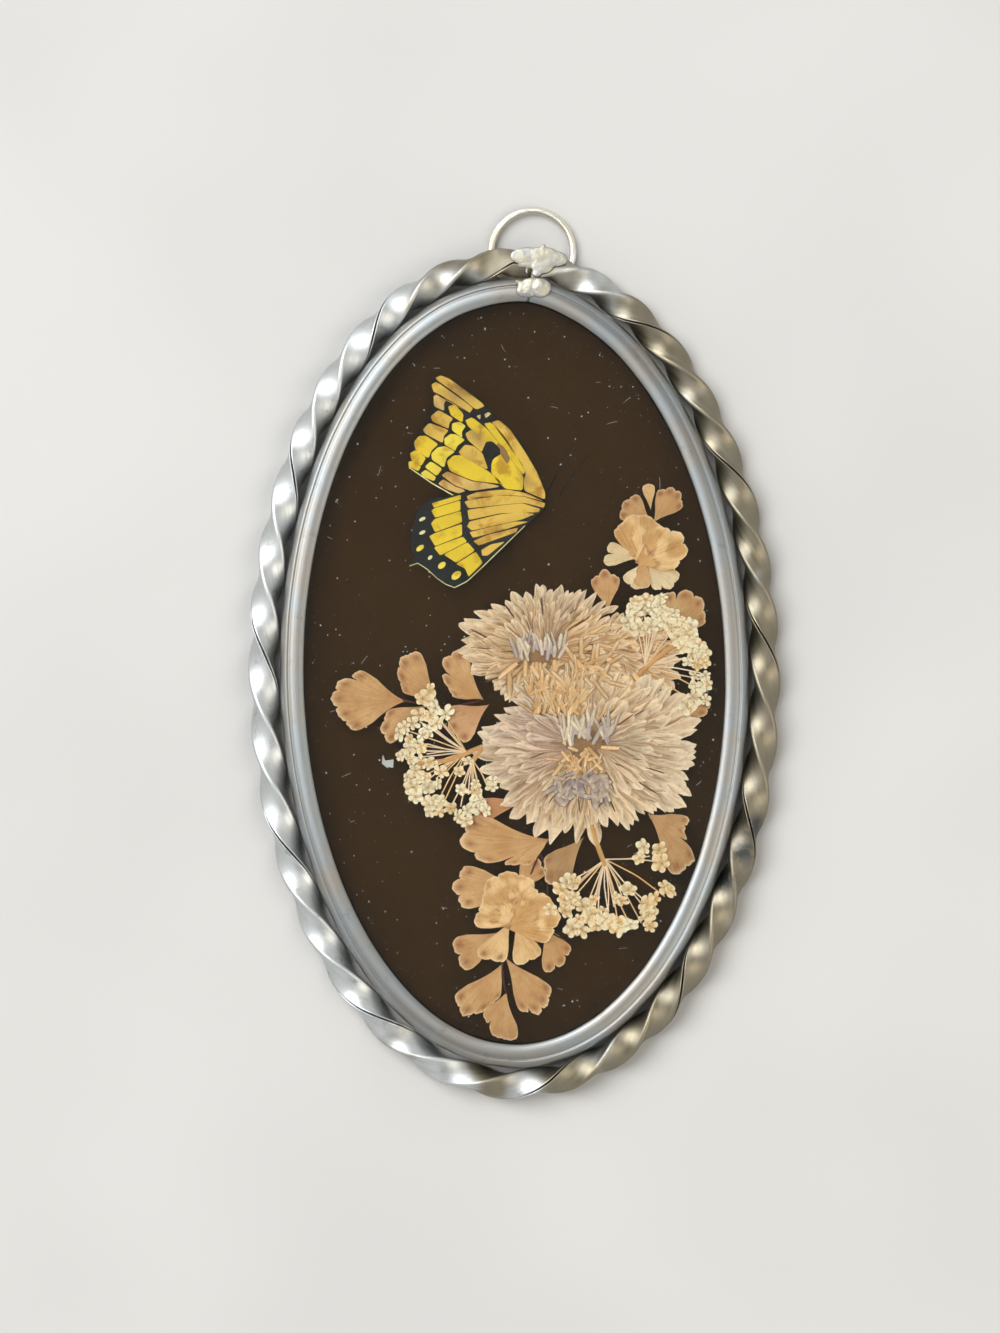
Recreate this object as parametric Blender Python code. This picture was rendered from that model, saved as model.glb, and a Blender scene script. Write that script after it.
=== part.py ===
"""Pressed flower frame: butterfly wings and dried flowers between two oval panes, in a bent metal came,
with a twisted channel border and a wire loop soldered on at the top.

It lies flat on its back: +Z out of the front, +Y towards the loop. Lengths are in millimetres, and
solid() turns them into Blender's metres. Angles round the oval run clockwise from its top, seen from
the front.
"""

import math

import bmesh
import bpy
import numpy as np

MM = 0.001

# The guide oval that the came and the border follow, and how far hand bending takes them off it.
HALF_WIDTH = 41.5
HALF_HEIGHT = 70.1
BEND_ASIDE = 0.25
BEND_ASKEW = -0.32

# Came: a channel open towards the glass. Depths run inward from its outer edge, heights up from its back.
CAME_EDGE = 0.5
CAME_WIDTH = 4.2
CAME_HEIGHT = 5.9
CAME_WALL = 0.9
BACK_FLANGE = 0.45
FRONT_FLANGE = 0.65
JOINT_ANGLE = 0.075
JOINT_GAP = 0.3
PEAK_HEIGHT = 0.5
PEAK_REACH = 9.0

# Panes.
PANE_THICKNESS = 1.6
PANE_EDGE = CAME_EDGE - CAME_WALL - 0.3
BACK_PANE_LOW = 0.7
FRONT_PANE_LOW = CAME_HEIGHT - FRONT_FLANGE - 0.25 - PANE_THICKNESS

# Border: a channel squeezed to a rounded triangle and twisted.
BORDER_OFFSET = 3.55
BORDER_RADIUS = 2.75
CORNER_ROUND = 0.92
BORDER_TURNS = 12
BORDER_STATIONS = 168
SLOT_FRONTS = (0.071, 0.150, 0.233, 0.321, 0.404, 0.484, 0.576, 0.666, 0.761, 0.847, 0.926)
FLAT_REACH = 6.0
FLAT_BLEND = 5.0
FLAT_SQUASH = 0.3
FLAT_CENTRE = 4.0

# Hanging loop, whose ends stop behind the border's joint.
LOOP_CENTRE = (3.7, 76.1)
LOOP_RADIUS = 7.4
WIRE_RADIUS = 0.625
LOOP_HEIGHT = 0.98
LOOP_OPENING = 100.0

# Pressed specimens lie in thin levels between the panes.
LOWEST_LEVEL = BACK_PANE_LOW + PANE_THICKNESS + 0.06
LEVEL_PITCH = 0.14
SPECIMEN_THICKNESS = 0.1
SPRAYS, LEAFLETS, UMBELS, SMALL_UMBEL, REAR_FLOWER, UPPER_FLOWER, LOWER_FLOWER = range(7)
HINDWING, FOREWING = UMBELS, SMALL_UMBEL


def clear_scene():
    for obj in list(bpy.data.objects):
        bpy.data.objects.remove(obj, do_unlink=True)


def finish(name, colour, roughness, metallic=0.0, transmission=0.0):
    """A Principled material of its own for one sub-part."""
    made = bpy.data.materials.new(name)
    made.use_nodes = True
    shader = made.node_tree.nodes["Principled BSDF"]
    shader.inputs["Base Color"].default_value = (*colour, 1.0)
    shader.inputs["Roughness"].default_value = roughness
    shader.inputs["Metallic"].default_value = metallic
    shader.inputs["Transmission Weight"].default_value = transmission
    return made


def solid(name, bm, material, smooth_angle=None):
    """Turns a bmesh in millimetres into an object in metres, with its faces pointing out."""
    bmesh.ops.scale(bm, vec=(MM, MM, MM), verts=bm.verts)
    bmesh.ops.recalc_face_normals(bm, faces=bm.faces)
    mesh = bpy.data.meshes.new(name)
    bm.to_mesh(mesh)
    bm.free()
    if smooth_angle is not None:
        mesh.shade_smooth()
        mesh.set_sharp_from_angle(angle=math.radians(smooth_angle))
    mesh.materials.append(material)
    obj = bpy.data.objects.new(name, mesh)
    bpy.context.scene.collection.objects.link(obj)
    return obj


def skin(bm, rings, closed):
    """Joins rings of equal length with quads, as a closed band or as a bar with two end faces."""
    loops = [[bm.verts.new(point) for point in ring] for ring in rings]
    following = loops[1:] + loops[:1] if closed else loops[1:]
    for first, second in zip(loops, following):
        for k, corner in enumerate(first):
            following_k = (k + 1) % len(first)
            bm.faces.new((corner, first[following_k], second[following_k], second[k]))
    if not closed:
        bm.faces.new(reversed(loops[0]))
        bm.faces.new(loops[-1])


def oval(angle, offset):
    """Point of the hand-bent oval that lies offset outside the guide, and the outward direction there."""
    across, along = math.sin(angle), math.cos(angle)
    normal = np.array((across / HALF_WIDTH, along / HALF_HEIGHT))
    normal /= np.linalg.norm(normal)
    stray = BEND_ASIDE * across + BEND_ASKEW * math.sin(2 * angle)
    return np.array((HALF_WIDTH * across, HALF_HEIGHT * along)) + normal * (offset + stray), normal


def came_profile():
    """(depth inward, height) round the channel: flat back flange, outer wall, rounded front flange."""
    inside_top = CAME_HEIGHT - FRONT_FLANGE
    return (
        (0.35, 0.0),
        (CAME_WIDTH, 0.0),
        (CAME_WIDTH, BACK_FLANGE),
        (CAME_WALL, BACK_FLANGE),
        (CAME_WALL, inside_top),
        (CAME_WIDTH, inside_top),
        (CAME_WIDTH + 0.15, inside_top + 0.2),
        (CAME_WIDTH - 0.1, CAME_HEIGHT - 0.2),
        (CAME_WIDTH - 1.3, CAME_HEIGHT),
        (1.3, CAME_HEIGHT - 0.1),
        (0.4, CAME_HEIGHT - 0.5),
        (0.0, CAME_HEIGHT - 1.3),
        (0.0, 0.35),
    )


def build_came(stations=88):
    """The came, bent round from one side of its joint to the other, slightly peaked where its ends meet."""
    half_gap = JOINT_GAP / 2 / HALF_WIDTH
    rings = []
    for angle in np.linspace(JOINT_ANGLE + half_gap, JOINT_ANGLE + 2 * math.pi - half_gap, stations):
        away = min(angle - JOINT_ANGLE, JOINT_ANGLE + 2 * math.pi - angle) * HALF_WIDTH
        peak = PEAK_HEIGHT * max(0.0, 1 - away / PEAK_REACH)
        ring = []
        for depth, height in came_profile():
            point, _ = oval(angle, CAME_EDGE + peak - depth)
            ring.append((*point, height))
        rings.append(ring)
    bm = bmesh.new()
    skin(bm, rings, closed=False)
    metal = finish("came_metal", (0.42, 0.43, 0.42), 0.42, metallic=1.0)
    return solid("came_frame", bm, metal, smooth_angle=40)


def build_pane(name, low, colour, points=64):
    rings = []
    for height in (low, low + PANE_THICKNESS):
        rings.append([(*oval(2 * math.pi * k / points, PANE_EDGE)[0], height) for k in range(points)])
    bm = bmesh.new()
    skin(bm, rings, closed=False)
    return solid(name, bm, finish(name, colour, 0.02, transmission=1.0))


def even_angles(offset, fractions, steps=720):
    """The angles at these fractions of the way round the oval, measured along its edge."""
    angles = np.linspace(0, 2 * math.pi, steps + 1)
    points = np.array([oval(angle, offset)[0] for angle in angles])
    run = np.concatenate(([0.0], np.cumsum(np.linalg.norm(np.diff(points, axis=0), axis=1))))
    whole, part = np.divmod(fractions, 1.0)
    return np.interp(part, run / run[-1], angles) + whole * 2 * math.pi, run[-1]


def border_section(turn):
    """Rounded triangle, squeezed from a channel; turn is how many turns its slot corner has made."""
    slot = math.pi / 2 - 2 * math.pi * turn
    ring = []
    for corner in range(3):
        heading = slot - corner * 2 * math.pi / 3
        centre = (BORDER_RADIUS - CORNER_ROUND) * np.array((math.cos(heading), math.sin(heading)))
        for spread in (60, 20, -20, -60):
            direction = heading + math.radians(spread)
            ring.append(centre + CORNER_ROUND * np.array((math.cos(direction), math.sin(direction))))
    return ring


def build_border():
    """The twisted strip. It starts and ends beside the top, where it is pressed flat to be soldered."""
    _, length = even_angles(BORDER_OFFSET, np.zeros(1))
    joint = LOOP_CENTRE[0] / length
    half_gap = JOINT_GAP / 2 / length
    fractions = np.linspace(joint + half_gap, joint + 1 - half_gap, BORDER_STATIONS)
    angles, _ = even_angles(BORDER_OFFSET, fractions)
    turn_marks = (0.0, *SLOT_FRONTS, 1.0)
    turns = np.interp(fractions, turn_marks, range(BORDER_TURNS + 1))
    rings = []
    for fraction, angle, turn in zip(fractions, angles, turns):
        away = min(fraction - joint, joint + 1 - fraction) * length
        twisted = min(1.0, max(0.0, (away - FLAT_REACH) / FLAT_BLEND))
        squash = FLAT_SQUASH + (1 - FLAT_SQUASH) * twisted
        centre = FLAT_CENTRE + (BORDER_RADIUS - FLAT_CENTRE) * twisted
        middle, normal = oval(angle, BORDER_OFFSET)
        ring = [(*(middle + normal * out), centre + squash * up) for out, up in border_section(turn)]
        rings.append(ring)
    bm = bmesh.new()
    skin(bm, rings, closed=False)
    metal = finish("border_metal", (0.48, 0.48, 0.46), 0.38, metallic=1.0)
    return solid("border_twist", bm, metal, smooth_angle=50)


def build_loop(stations=36, sides=8):
    """The wire loop, open behind the joint."""
    bm = bmesh.new()
    rings = []
    first = math.radians(-90 + LOOP_OPENING / 2)
    last = math.radians(270 - LOOP_OPENING / 2)
    for angle in np.linspace(first, last, stations):
        ring = []
        for k in range(sides):
            round_wire = 2 * math.pi * k / sides
            reach = LOOP_RADIUS + WIRE_RADIUS * math.cos(round_wire)
            x = LOOP_CENTRE[0] + reach * math.cos(angle)
            y = LOOP_CENTRE[1] + reach * math.sin(angle)
            ring.append((x, y, LOOP_HEIGHT + WIRE_RADIUS * math.sin(round_wire)))
        rings.append(ring)
    skin(bm, rings, closed=False)
    metal = finish("loop_metal", (0.75, 0.74, 0.70), 0.25, metallic=1.0)
    return solid("hanging_loop", bm, metal, smooth_angle=50)


def build_solder(name, centre, half_sizes, low):
    """A drop of solder: a low dome on a flat underside."""
    bm = bmesh.new()
    bmesh.ops.create_uvsphere(bm, u_segments=14, v_segments=8, radius=1.0)
    for vertex in bm.verts:
        x, y, z = vertex.co
        vertex.co = (
            centre[0] + half_sizes[0] * x,
            centre[1] + half_sizes[1] * y,
            low + half_sizes[2] * max(0.0, z),
        )
    return solid(name, bm, finish(name, (0.62, 0.60, 0.55), 0.45, metallic=1.0), smooth_angle=50)


def fan(x, y, heading, length, spread, steps=5):
    """A leaflet's outline: a point where it joins its stem, and a gently lobed rim."""
    outline = [(x, y)]
    for k in range(steps):
        direction = math.radians(heading + spread * (k / (steps - 1) - 0.5))
        reach = length * (0.93 if k % 2 == 0 else 1.0)
        outline.append((x + reach * math.cos(direction), y + reach * math.sin(direction)))
    return outline


def ribbon(start, end, width=0.5):
    """A stem's outline between two points, run a little past each so that it joins what it meets."""
    start, end = np.array(start), np.array(end)
    along = (end - start) / np.linalg.norm(end - start)
    aside = np.array((-along[1], along[0])) * width / 2
    start, end = start - along * width, end + along * width
    return [start - aside, end - aside, end + aside, start + aside]


def rosette(x, y, half_width, half_height, petals, depth=0.86):
    """A pressed flower head's outline: petal tips round an ellipse."""
    outline = []
    for k in range(2 * petals):
        angle = math.pi * k / petals
        reach = 1.0 if k % 2 == 0 else depth
        across, along = reach * math.cos(angle), reach * math.sin(angle)
        outline.append((x + half_width * across, y + half_height * along))
    return outline


def plate(name, outline, level, material=None):
    """A thin flat solid with this outline, in one of the levels between the panes."""
    low = LOWEST_LEVEL + LEVEL_PITCH * level
    back = [(x, y, low) for x, y in outline]
    front = [(x, y, low + SPECIMEN_THICKNESS) for x, y in outline]
    bm = bmesh.new()
    skin(bm, [back, front], closed=False)
    return solid(name, bm, material)


def joined(name, outlines, level, material):
    """One thin solid made of several overlapping outlines, joined by Boolean unions."""
    whole = plate(name, outlines[0], level, material)
    for number, outline in enumerate(outlines[1:]):
        piece = plate(f"{name}_cutter_{number}", outline, level, material)
        piece.hide_render = True
        piece.display_type = "WIRE"
        union = whole.modifiers.new(f"join_{number}", "BOOLEAN")
        union.operation = "UNION"
        union.solver = "EXACT"
        union.object = piece
    return whole


def build_butterfly():
    root = (6.2, 31.2)
    forewing = (
        root, (5.1, 34.1), (2.2, 39.8), (-0.3, 43.4), (-4.9, 47.5), (-13.1, 53.0), (-14.6, 51.1),
        (-14.6, 46.1), (-17.6, 41.4), (-18.5, 39.1), (-18.5, 36.6), (-10.6, 31.9),
    )
    hindwing = (
        root, (4.6, 28.7), (3.0, 27.3), (-1.2, 23.0), (-5.5, 19.8), (-8.7, 16.0), (-10.3, 14.9),
        (-13.9, 17.4), (-18.6, 18.8), (-17.2, 24.0), (-16.4, 28.0), (-14.6, 30.4), (-10.4, 31.5),
    )
    yellow = finish("wing_yellow", (0.72, 0.44, 0.04), 0.6)
    dark_yellow = finish("hindwing_yellow", (0.70, 0.46, 0.05), 0.6)
    plate("butterfly_forewing", forewing, FOREWING, yellow)
    plate("butterfly_hindwing", hindwing, HINDWING, dark_yellow)


def build_flowers():
    brown = finish("flower_behind", (0.50, 0.33, 0.18), 0.7)
    tan = finish("flower_upper", (0.60, 0.44, 0.27), 0.7)
    grey_tan = finish("flower_lower", (0.62, 0.47, 0.32), 0.7)
    plate("flower_behind", rosette(22.4, 3.0, 8.2, 9.0, 10), REAR_FLOWER, brown)
    plate("flower_upper", rosette(6.6, 5.4, 16.8, 11.0, 16), UPPER_FLOWER, tan)
    plate("flower_lower", rosette(13.9, -14.4, 20.4, 15.8, 18), LOWER_FLOWER, grey_tan)


def build_umbels():
    cream = finish("umbel_cream", (0.80, 0.66, 0.40), 0.7)
    plate("umbel_right", fan(21.0, 3.5, 0, 14.6, 88, 7), UMBELS, cream)
    plate("umbel_left", fan(-5.6, -13.0, 186, 14.6, 88, 7), UMBELS, cream)
    plate("umbel_left_small", fan(-5.0, -15.5, 246, 11.0, 44, 5), SMALL_UMBEL, cream)
    plate("umbel_lower", fan(15.3, -27.6, 272, 19.4, 84, 7), UMBELS, cream)


def build_ferns():
    """Maidenhair sprays: each leaflet's (base x, base y, heading, length, spread), then the stem's points."""
    tan = finish("fern_tan", (0.48, 0.31, 0.15), 0.75)
    sprays = {
        "fern_left": (
            (
                (-18.9, -4.8, 179, 13.2, 50),
                (-12.6, -5.6, 133, 10.4, 46),
                (-16.2, -5.1, 216, 8.8, 48),
                (-6.6, -5.4, 116, 10.4, 40),
                (-6.6, -5.0, 206, 6.6, 34),
            ),
            ((-19.6, -4.7), (-14.9, -5.6), (-6.2, -5.1)),
        ),
        "fern_top": (
            (
                (25.5, 25.0, 92, 9.0, 84),
                (26.0, 22.6, 174, 9.9, 50),
                (23.6, 23.0, 8, 8.6, 50),
                (24.6, 22.2, 270, 7.0, 80),
            ),
            ((25.4, 26.6), (24.6, 22.0), (23.7, 13.0)),
        ),
        "fern_bottom": (
            (
                (5.8, -31.0, 174, 15.4, 34),
                (1.4, -38.6, 178, 12.6, 32),
                (2.6, -39.6, 85, 6.0, 60),
                (2.2, -42.0, 160, 8.8, 45),
                (0.8, -42.2, -30, 8.4, 50),
                (1.0, -45.6, 200, 12.0, 42),
                (0.2, -46.2, -14, 12.4, 34),
                (0.2, -51.4, 232, 12.0, 40),
                (-0.4, -50.0, -58, 12.4, 40),
                (-0.6, -55.8, 262, 9.2, 44),
            ),
            ((5.6, -30.6), (1.8, -40.4), (0.3, -50.2), (-0.5, -56.8)),
        ),
    }
    for name, (leaflets, stem) in sprays.items():
        outlines = [ribbon(*ends) for ends in zip(stem, stem[1:])]
        outlines += [fan(*leaflet) for leaflet in leaflets]
        joined(name, outlines, SPRAYS, tan)
    loose = {
        "fern_leaf_upper": (17.6, 11.2, 98, 7.7, 40),
        "fern_leaf_upper_right": (28.2, 8.0, 75, 7.4, 84),
        "fern_leaf_right": (29.2, -4.6, -18, 6.8, 50),
        "fern_leaf_lower_right": (24.6, -26.0, -48, 10.6, 52),
        "fern_leaf_lower": (13.9, -29.2, 234, 12.0, 40),
    }
    for name, leaflet in loose.items():
        plate(name, fan(*leaflet), LEAFLETS, tan)


def centre_on_base():
    """Hangs every piece on one empty, placed so that the world origin is the middle of the base."""
    pieces = [obj for obj in bpy.data.objects if obj.type == "MESH"]
    corners = np.array([vertex.co for obj in pieces for vertex in obj.data.vertices])
    low, high = corners.min(axis=0), corners.max(axis=0)
    holder = bpy.data.objects.new("frame_origin", None)
    bpy.context.scene.collection.objects.link(holder)
    holder.location = (-(low[0] + high[0]) / 2, -(low[1] + high[1]) / 2, -low[2])
    for obj in pieces:
        obj.parent = holder


def main():
    clear_scene()
    build_came()
    build_pane("glass_back", BACK_PANE_LOW, (0.28, 0.20, 0.12))
    build_pane("glass_front", FRONT_PANE_LOW, (0.97, 0.98, 0.97))
    build_border()
    build_loop()
    build_solder("solder_border_joint", (4.8, 73.8), (5.4, 2.8, 0.7), low=4.9)
    build_solder("solder_came_joint", (3.9, 68.8), (2.9, 2.1, 0.9), low=CAME_HEIGHT + 0.06)
    build_solder("solder_loop_back", (3.7, 73.0), (5.6, 2.2, 1.1), low=1.7)
    build_butterfly()
    build_flowers()
    build_umbels()
    build_ferns()
    centre_on_base()


main()
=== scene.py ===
"""Looks of the pressed flower frame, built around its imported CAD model.

Shapes are worked out in millimetres and become metres in Pieces.make() or drops(). Most of the metalwork, the
flower heads and the wings' root are placed from the CAD nodes' boxes. Angles round the oval run clockwise
from its top; other headings are degrees counter-clockwise from +X.
"""

import math

import bmesh
import bpy
import numpy as np
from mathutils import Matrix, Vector, noise


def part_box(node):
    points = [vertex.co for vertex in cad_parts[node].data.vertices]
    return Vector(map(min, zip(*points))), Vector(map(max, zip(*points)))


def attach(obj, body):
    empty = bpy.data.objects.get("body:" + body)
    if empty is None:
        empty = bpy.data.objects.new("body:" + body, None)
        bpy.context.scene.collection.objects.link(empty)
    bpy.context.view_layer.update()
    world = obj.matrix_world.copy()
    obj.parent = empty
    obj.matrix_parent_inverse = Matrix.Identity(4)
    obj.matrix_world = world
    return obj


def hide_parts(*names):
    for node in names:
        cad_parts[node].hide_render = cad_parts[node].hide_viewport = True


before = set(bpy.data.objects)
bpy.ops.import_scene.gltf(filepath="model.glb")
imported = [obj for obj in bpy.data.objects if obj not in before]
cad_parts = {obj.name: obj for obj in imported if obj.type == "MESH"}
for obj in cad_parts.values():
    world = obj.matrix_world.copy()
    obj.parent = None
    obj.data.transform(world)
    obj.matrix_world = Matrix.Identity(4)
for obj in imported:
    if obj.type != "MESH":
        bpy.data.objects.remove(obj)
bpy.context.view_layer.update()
MM = 0.001
noise.seed_set(4)  # mathutils' noise is seeded by the clock otherwise


def low_mm(node):
    return np.array(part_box(node)[0]) / MM


def high_mm(node):
    return np.array(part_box(node)[1]) / MM


def spot(node, across, along):
    """(x, y) at these fractions of the way over a node's box."""
    low, high = low_mm(node), high_mm(node)
    return np.array((low[0] + across * (high[0] - low[0]), low[1] + along * (high[1] - low[1])))


# ---------------------------------------------------------------- the guide oval, as the CAD part has it

CAME_EDGE = 0.5
BEND_ASIDE = 0.25
BEND_ASKEW = -0.32
PANE_EDGE = -0.7
OVAL_MIDDLE = (spot("glass_front", 0.5, 0.5) + spot("glass_back", 0.5, 0.5)) / 2
HALF_WIDTH = (high_mm("glass_front")[0] - low_mm("glass_front")[0]) / 2 - PANE_EDGE
HALF_HEIGHT = (high_mm("glass_front")[1] - low_mm("glass_front")[1]) / 2 - PANE_EDGE
GAP_LOW = high_mm("glass_back")[2]
GAP_HIGH = low_mm("glass_front")[2]
FLOOR_ROOM = 0.03
CEILING_ROOM = 0.15
CEILING_STEP = 0.0004
CEILING_STEPS = 340
GRID_STEP = 0.0006


def oval(angle, offset):
    """Point of the hand-bent oval that lies offset outside the guide, and the outward direction there."""
    across, along = math.sin(angle), math.cos(angle)
    normal = np.array((across / HALF_WIDTH, along / HALF_HEIGHT))
    normal /= np.linalg.norm(normal)
    stray = BEND_ASIDE * across + BEND_ASKEW * math.sin(2 * angle)
    point = np.array((HALF_WIDTH * across, HALF_HEIGHT * along))
    return OVAL_MIDDLE + point + normal * (offset + stray), normal


def even_angles(offset, fractions, steps=1440):
    """The angles at these fractions of the way round the oval, and its whole length."""
    angles = np.linspace(0, 2 * math.pi, steps + 1)
    points = np.array([oval(angle, offset)[0] for angle in angles])
    run = np.concatenate(([0.0], np.cumsum(np.linalg.norm(np.diff(points, axis=0), axis=1))))
    whole, part = np.divmod(fractions, 1.0)
    return np.interp(part, run / run[-1], angles) + whole * 2 * math.pi, run[-1]


# ---------------------------------------------------------------- colours and mesh gathering


def rgb(red, green, blue):
    """A colour as it looks on a screen, 0 to 255, turned into linear light."""
    shares = np.array((red, green, blue)) / 255
    return np.where(shares <= 0.04045, shares / 12.92, ((shares + 0.055) / 1.055) ** 2.4)


def blend(first, second, share):
    """Colours between first and second; share may be one number or an array of them."""
    share = np.asarray(share, float)[..., None]
    return np.asarray(first) * (1 - share) + np.asarray(second) * share


WHITE = (1, 1, 1)


def smooth(value, low=0.0, high=1.0):
    part = np.clip((np.asarray(value, float) - low) / (high - low), 0, 1)
    return part * part * (3 - 2 * part)


def ripple(x, y, scale, seed, kind=noise.noise):
    """Smooth noise at each point of the rows x and y."""
    return np.array([[kind(Vector((a * scale, b * scale, seed))) for a, b in zip(*row)] for row in zip(x, y)])


class Pieces:
    """Gathers surfaces, with a tint and a (u, v) place at each point, into one object."""

    def __init__(self):
        self.points, self.tints, self.places, self.faces = [], [], [], []
        self.grids = 0

    def add(self, points, faces, tint, places):
        start = len(self.points)
        self.points += [tuple(point) for point in points]
        tints = np.broadcast_to(tint, (len(points), 3))
        self.tints += [tuple(colour) for colour in tints]
        self.places += [tuple(place) for place in places]
        self.faces += [tuple(start + corner for corner in face) for face in faces]

    def grid(self, points, tints, around=False):
        """points: rows x columns x 3. around joins the last column to the first."""
        rows, columns = points.shape[:2]
        faces = []
        for row in range(rows - 1):
            for column in range(columns if around else columns - 1):
                following = (column + 1) % columns
                faces.append((row * columns + column, row * columns + following,
                              (row + 1) * columns + following, (row + 1) * columns + column))
        v, u = np.meshgrid(np.linspace(0, 1, rows), np.linspace(0, 1, columns), indexing="ij")
        tints = np.broadcast_to(tints, (rows, columns, 3)).reshape(-1, 3)
        self.grids += 1
        places = np.stack((u, v), -1).reshape(-1, 2) + (self.grids * 3.17 % 40, self.grids * 1.73 % 23)
        self.add(points.reshape(-1, 3), faces, tints, places)

    def pressed(self, heights):
        """Heights kept inside the gap between the panes. Each grid has a ceiling of its own, since surfaces
        pressed to one height would flicker into each other."""
        ceiling = GAP_HIGH - CEILING_ROOM + CEILING_STEP * min(self.grids, CEILING_STEPS)
        return np.clip(heights, GAP_LOW + FLOOR_ROOM, ceiling)

    def tube(self, route, radii, tint, sides=7, flat=1.0):
        """A stalk along a route of points, round or pressed flat."""
        route = np.asarray(route, float)
        radii = np.broadcast_to(radii, len(route))
        along = np.gradient(route, axis=0)
        along /= np.linalg.norm(along, axis=1)[:, None]
        aside = np.cross(along, (0, 0, 1))
        aside /= np.linalg.norm(aside, axis=1)[:, None]
        over = np.cross(aside, along)
        turn = np.linspace(0, 2 * math.pi, sides, endpoint=False)
        turn = turn[None, :, None]
        ring = aside[:, None] * np.cos(turn) + over[:, None] * flat * np.sin(turn)
        self.grid(route[:, None] + ring * radii[:, None, None], tint, around=True)

    def cap_ends(self, count):
        """Closes both ends of a grid that runs round with count points in each row."""
        last = len(self.points)
        self.faces += [tuple(reversed(range(count))), tuple(range(last - count, last))]

    def plate(self, outline, height, tint):
        """One flat face with this outline."""
        points = [(x, y, height) for x, y in outline]
        self.add(points, [tuple(range(len(points)))], tint, outline)

    def make(self, name, material, slot, *nodes, smooth_shade=True):
        mesh = bpy.data.meshes.new(name)
        mesh.from_pydata([(x * MM, y * MM, z * MM) for x, y, z in self.points], [], self.faces)
        corners = np.zeros(len(mesh.loops), int)
        mesh.loops.foreach_get("vertex_index", corners)
        places = np.array(self.places, np.float32)[corners].ravel()
        mesh.uv_layers.new(name="UVMap").data.foreach_set("uv", places)
        tint = mesh.color_attributes.new("tint", "FLOAT_COLOR", "POINT")
        tint.data.foreach_set("color", np.c_[np.array(self.tints), np.ones(len(self.tints))].ravel())
        if smooth_shade:
            mesh.shade_smooth()
        mesh.materials.append(material)
        register(link_new(name, mesh), slot, *nodes)


def link_new(name, data):
    """A new object with this data, in the scene."""
    obj = bpy.data.objects.new(name, data)
    bpy.context.scene.collection.objects.link(obj)
    return obj


def register(obj, slot, *nodes):
    """Ties a finished piece to the frame."""
    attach(obj, "root")
    if nodes:
        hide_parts(*nodes)


def rounded(outline, grow=0.0, times=2, cut=0.17):
    """The outline moved outward by grow, with its corners cut a few times over into curves."""
    points = np.asarray(outline, float)
    before, after = np.roll(points, 1, axis=0), np.roll(points, -1, axis=0)
    area = (points[:, 0] * after[:, 1] - after[:, 0] * points[:, 1]).sum()
    along = after - before
    out = np.stack((along[:, 1], -along[:, 0]), 1) * math.copysign(1, area)
    points = points + grow * out / np.linalg.norm(out, axis=1)[:, None]
    for _ in range(times):
        after = np.roll(points, -1, axis=0)
        pairs = np.stack((points * (1 - cut) + after * cut, points * cut + after * (1 - cut)), 1)
        points = pairs.reshape(-1, 2)
    return points


# ---------------------------------------------------------------- materials


class Look:
    """A material round one Principled shader, with short ways to add the nodes that these looks need."""

    def __init__(self, name, roughness, metallic=0.0, **sockets):
        self.material = bpy.data.materials.new(name)
        self.material.use_nodes = True
        self.nodes = self.material.node_tree.nodes
        self.links = self.material.node_tree.links
        self.shader = self.nodes["Principled BSDF"]
        for socket, value in {"Roughness": roughness, "Metallic": metallic, **sockets}.items():
            self.put(socket.replace("_", " "), value)

    def put(self, socket, value):
        self.feed(self.shader.inputs[socket], value)

    def feed(self, socket, value):
        """Gives a socket a number, a vector or a colour, or links another node's output to it."""
        if isinstance(value, bpy.types.NodeSocket):
            self.links.new(value, socket)
        elif socket.type == "RGBA":
            socket.default_value = (*value, 1)
        else:
            socket.default_value = value

    def node(self, kind, inputs, output=0, **settings):
        """An output of a new node, made with these settings and inputs."""
        node = self.nodes.new("ShaderNode" + kind)
        for setting, value in settings.items():
            setattr(node, setting, value)
        for socket, value in inputs.items():
            self.feed(node.inputs[socket], value)
        return node.outputs[output]

    def coords(self, kind="Object", scale=(1, 1, 1)):
        """Texture coordinates; Object ones are counted in millimetres."""
        units = 1 / MM if kind == "Object" else 1
        scale = tuple(part * units for part in scale)
        return self.node("Mapping", {"Vector": self.node("TexCoord", {}, kind), "Scale": scale})

    def noise(self, coords, scale, detail=3.0, roughness=0.55, distortion=0.0):
        inputs = {"Vector": coords, "Scale": scale, "Detail": detail}
        return self.node("TexNoise", {**inputs, "Roughness": roughness, "Distortion": distortion}, "Fac")

    def ramp(self, value, low, high, bottom=0.0, top=1.0):
        """value between low and high, stretched to bottom to top."""
        inputs = {"Value": value, "From Min": low, "From Max": high, "To Min": bottom, "To Max": top}
        return self.node("MapRange", inputs, interpolation_type="SMOOTHSTEP")

    def mix(self, share, first, second, kind="MIX"):
        return self.node("Mix", {"Factor": share, 6: first, 7: second}, 2, data_type="RGBA", blend_type=kind)

    def plus(self, first, second):
        return self.node("Math", {0: first, 1: second}, operation="ADD")

    def times(self, first, second):
        return self.node("Math", {0: first, 1: second}, operation="MULTIPLY")

    def tint(self):
        """The colour painted on the mesh's points, painted shade and highlights included."""
        return self.node("Attribute", {}, "Color", attribute_name="tint")

    def bump(self, height, depth):
        self.put("Normal", self.node("Bump", {"Strength": 1.0, "Distance": depth * MM, "Height": height}))


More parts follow.
